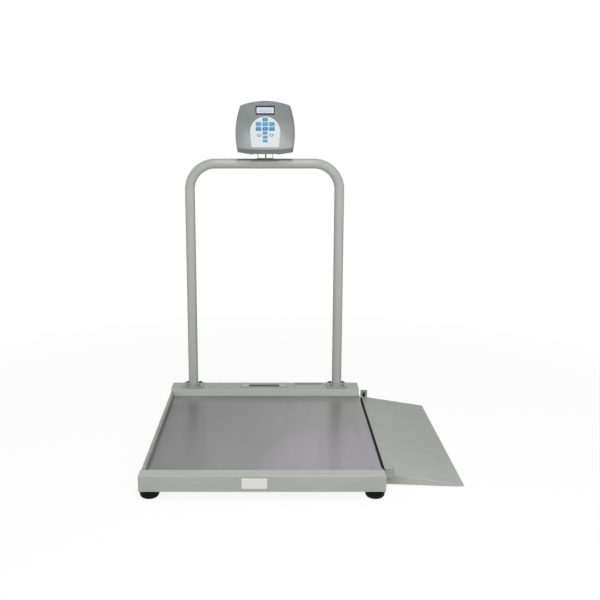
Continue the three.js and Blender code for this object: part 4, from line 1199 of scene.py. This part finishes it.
unlit_ink = plain(
    "unlit_ink", ((176, 186, 198), (186, 196, 206)), (3,), 0.35, (1, 0.01, 0.3)
)
FIGURES, FIGURE_START, FIGURE_STEP, FIGURE_FOOT = 5, -24, 10.4, 148
FIGURE_WIDE, FIGURE_TALL, STROKE_HALF, STROKE_GAP = 6.2, 11.5, 0.65, 0.25
INK_NEAR, INK_FAR = 3.2, 3.32
bars = [((0, v), (FIGURE_WIDE, v)) for v in (0, FIGURE_TALL / 2, FIGURE_TALL)]
bars += [((u, v), (u, v + FIGURE_TALL / 2)) for u in (0, FIGURE_WIDE) for v in (0, FIGURE_TALL / 2)]
figure_skins = []
for figure in range(FIGURES):
    foot = Vector((FIGURE_START + figure * FIGURE_STEP, FIGURE_FOOT))
    for first, last in bars:
        way = (Vector(last) - Vector(first)).normalized()
        side = Vector((-way.y, way.x)) * STROKE_HALF
        a, b = foot + Vector(first) + way * STROKE_GAP, foot + Vector(last) - way * STROKE_GAP
        point = way * STROKE_HALF
        bar = [a, a + point + side, b - point + side, b, b - point - side, a + point - side]
        figure_skins.append(prism(bar, INK_NEAR, INK_FAR))
piece("display_figures", figure_skins, unlit_ink, "indicator")


# The keypad: a white arch-shaped film let into the face, following its crown, with an embossed
# border, and twelve teal push keys that stand a little proud of it.

PAD_RADIUS, PAD_CENTRE, PAD_FOOT_HALF, PAD_FOOT = 57.5, 74, 52.4, 17
PAD_CORNER, PAD_CUT, LEG_STEPS, FOOT_STEPS = 3, 0.9, 12, 24


def arch_outline(grow):
    """The arch from its right foot over the top to its left foot, with small round corners."""
    radius, foot_half, foot = PAD_RADIUS + grow, PAD_FOOT_HALF + grow, PAD_FOOT - grow
    angles = [math.radians(a) for a in range(0, 181, 3)]
    points = [Vector((radius * math.cos(a), PAD_CENTRE + radius * math.sin(a))) for a in angles]
    left, right = (Vector((u, foot + PAD_CORNER)) for u in (-foot_half, foot_half))
    reach = foot_half - PAD_CORNER
    points += [points[-1].lerp(left, k / LEG_STEPS) for k in range(1, LEG_STEPS + 1)]
    points.append(Vector((-foot_half + PAD_CUT, foot + PAD_CUT)))
    points += [Vector((reach * (2 * k / FOOT_STEPS - 1), foot)) for k in range(FOOT_STEPS + 1)]
    points += [Vector((foot_half - PAD_CUT, foot + PAD_CUT)), right]
    points += [right.lerp(points[0], k / LEG_STEPS) for k in range(1, LEG_STEPS)]
    return points


def film_ring(outline, depth):
    """A ring of the film, so deep behind the crowned face."""
    return [on_head(p.x, p.y, crown_at(p.x) + depth) for p in outline]


FILM_BACK, FILM_FIELD, FIELD_INSET, FIELD_STEPS = 0.6, -0.18, -2.4, 14
film_middle = Vector((0, 70))
field = arch_outline(FIELD_INSET)
shares = [k / FIELD_STEPS for k in range(1, FIELD_STEPS)]
smaller = [[film_middle + (p - film_middle) * share for p in field] for share in shares]
film_rings = [film_ring(outline, FILM_BACK) for outline in smaller]
edge = ((FIELD_INSET, FILM_BACK), (0, FILM_BACK), (0, -0.16), (-0.25, -0.3), (-1.9, -0.3))
for grow, depth in (*edge, (-2.1, -0.2), (FIELD_INSET, FILM_FIELD)):
    film_rings.append(film_ring(arch_outline(grow), depth))
film_rings += [film_ring(outline, FILM_FIELD) for outline in reversed(smaller)]

keypad_film, place = finish("keypad_film")
off_middle, high = abs(along(place, "X") - HEAD_X), along(place, "Z")
key_rows = ramped(off_middle, 35.5, 38.5, 1, 0) * band(high, 1109, 1112, 1145.5, 1148.5)
key_column = ramped(off_middle, 9.5, 12.5, 1, 0) * band(high, 1067, 1070, 1161, 1164)
key_field = key_rows.maths("MAXIMUM", key_column) * 0.6
film_tone = mixed(grain(place, 40, detail=3), (203, 209, 211), (210, 216, 218))
coat(
    place,
    Base_Color=mixed(key_field, film_tone, (136, 190, 220)),
    Roughness=uneven(place, 10, 0.34, 0.42),
    Normal=raised(grain(place, 0.8), 0.02, 0.4),
)
pad = loft(film_rings)
film_slot, film_node = "keypad_film", ["keypad_overlay"]
film = piece("keypad_film", [pad], keypad_film, "indicator", film_node, HEAD_CREASE)
carve(film, key_holes)


def key_finish(name, tones, legend, shown, pale):
    """A key's finish: two tones, and its paler middle's half width and height, share and tone."""
    material, place = finish(name)
    off_centre, off_level = (abs(across_box(place, axis) - 0.5) for axis in "XZ")
    rim = ramped(off_centre, 0.4, 0.46, 0, 0.3)
    rim = rim.maths("MAXIMUM", ramped(off_level, 0.36, 0.44, 0, 0.3))
    wide, tall = legend
    middle = ramped(off_centre, wide, wide + 0.08, shown, 0)
    middle = middle * ramped(off_level, tall, tall + 0.08, 1, 0)
    key_tone = mixed(grain(place, 6), *tones)
    coat(
        place,
        Base_Color=tinted(key_tone, (rim, (110, 172, 198)), (middle, pale)),
        Roughness=uneven(place, 3, 0.36, 0.46),
        Normal=raised(grain(place, 0.6), 0.02, 0.4),
    )
    return material


SMALL_LEGEND, PALE_TEAL = (0.16, 0.12), (150, 204, 230)
upper_tones, lower_tones = ((58, 126, 158), (66, 134, 166)), ((40, 102, 140), (48, 110, 148))
oval_tones = ((62, 122, 152), (72, 132, 162))
key_upper = key_finish("key_upper", upper_tones, SMALL_LEGEND, 0.3, PALE_TEAL)
key_lower = key_finish("key_lower", lower_tones, SMALL_LEGEND, 0.45, PALE_TEAL)
key_oval = key_finish("key_oval", oval_tones, (0.27, 0.22), 0.9, (206, 222, 228))
# how far each ring of a key's skin stands out of its outline, and behind the face
KEY_RINGS = [(0, 5), (0, -0.35), (-0.12, -0.62), (-0.4, -0.84), (-0.85, -0.96), (-1.6, -1.0)]
for name, form in KEYS.items():
    key_rings = []
    for grow, depth in KEY_RINGS:
        outline = rounded(form, grow, 8)
        key_rings.append([on_head(u, v, crown_at(form[0]) + depth) for u, v in outline])
    shade = key_oval if "oval" in name else key_lower if "key_lower" in name else key_upper
    piece(f"{name}_cap", [loft(key_rings)], shade, f"{name}_body", [name])


# The circuit board behind the keypad: green glass fibre with copper runs under its lacquer, on
# four posts moulded inside the front shell.

board_green, place = finish("board_green")
runs = ramped(abs(grain(place, 9, (1, 1, 6), 1) - 0.5), 0.01, 0.03, 1, 0)
coat(
    place,
    Base_Color=mixed(runs * 0.6, (34, 84, 52), (70, 128, 78)),
    Roughness=uneven(place, 6, 0.3, 0.45),
    Normal=raised(runs, 0.03, 0.5),
)
dress(["circuit_board"], board_green, 0)


# The view shows the colours as they are given.

scene.view_settings.view_transform = "Standard"
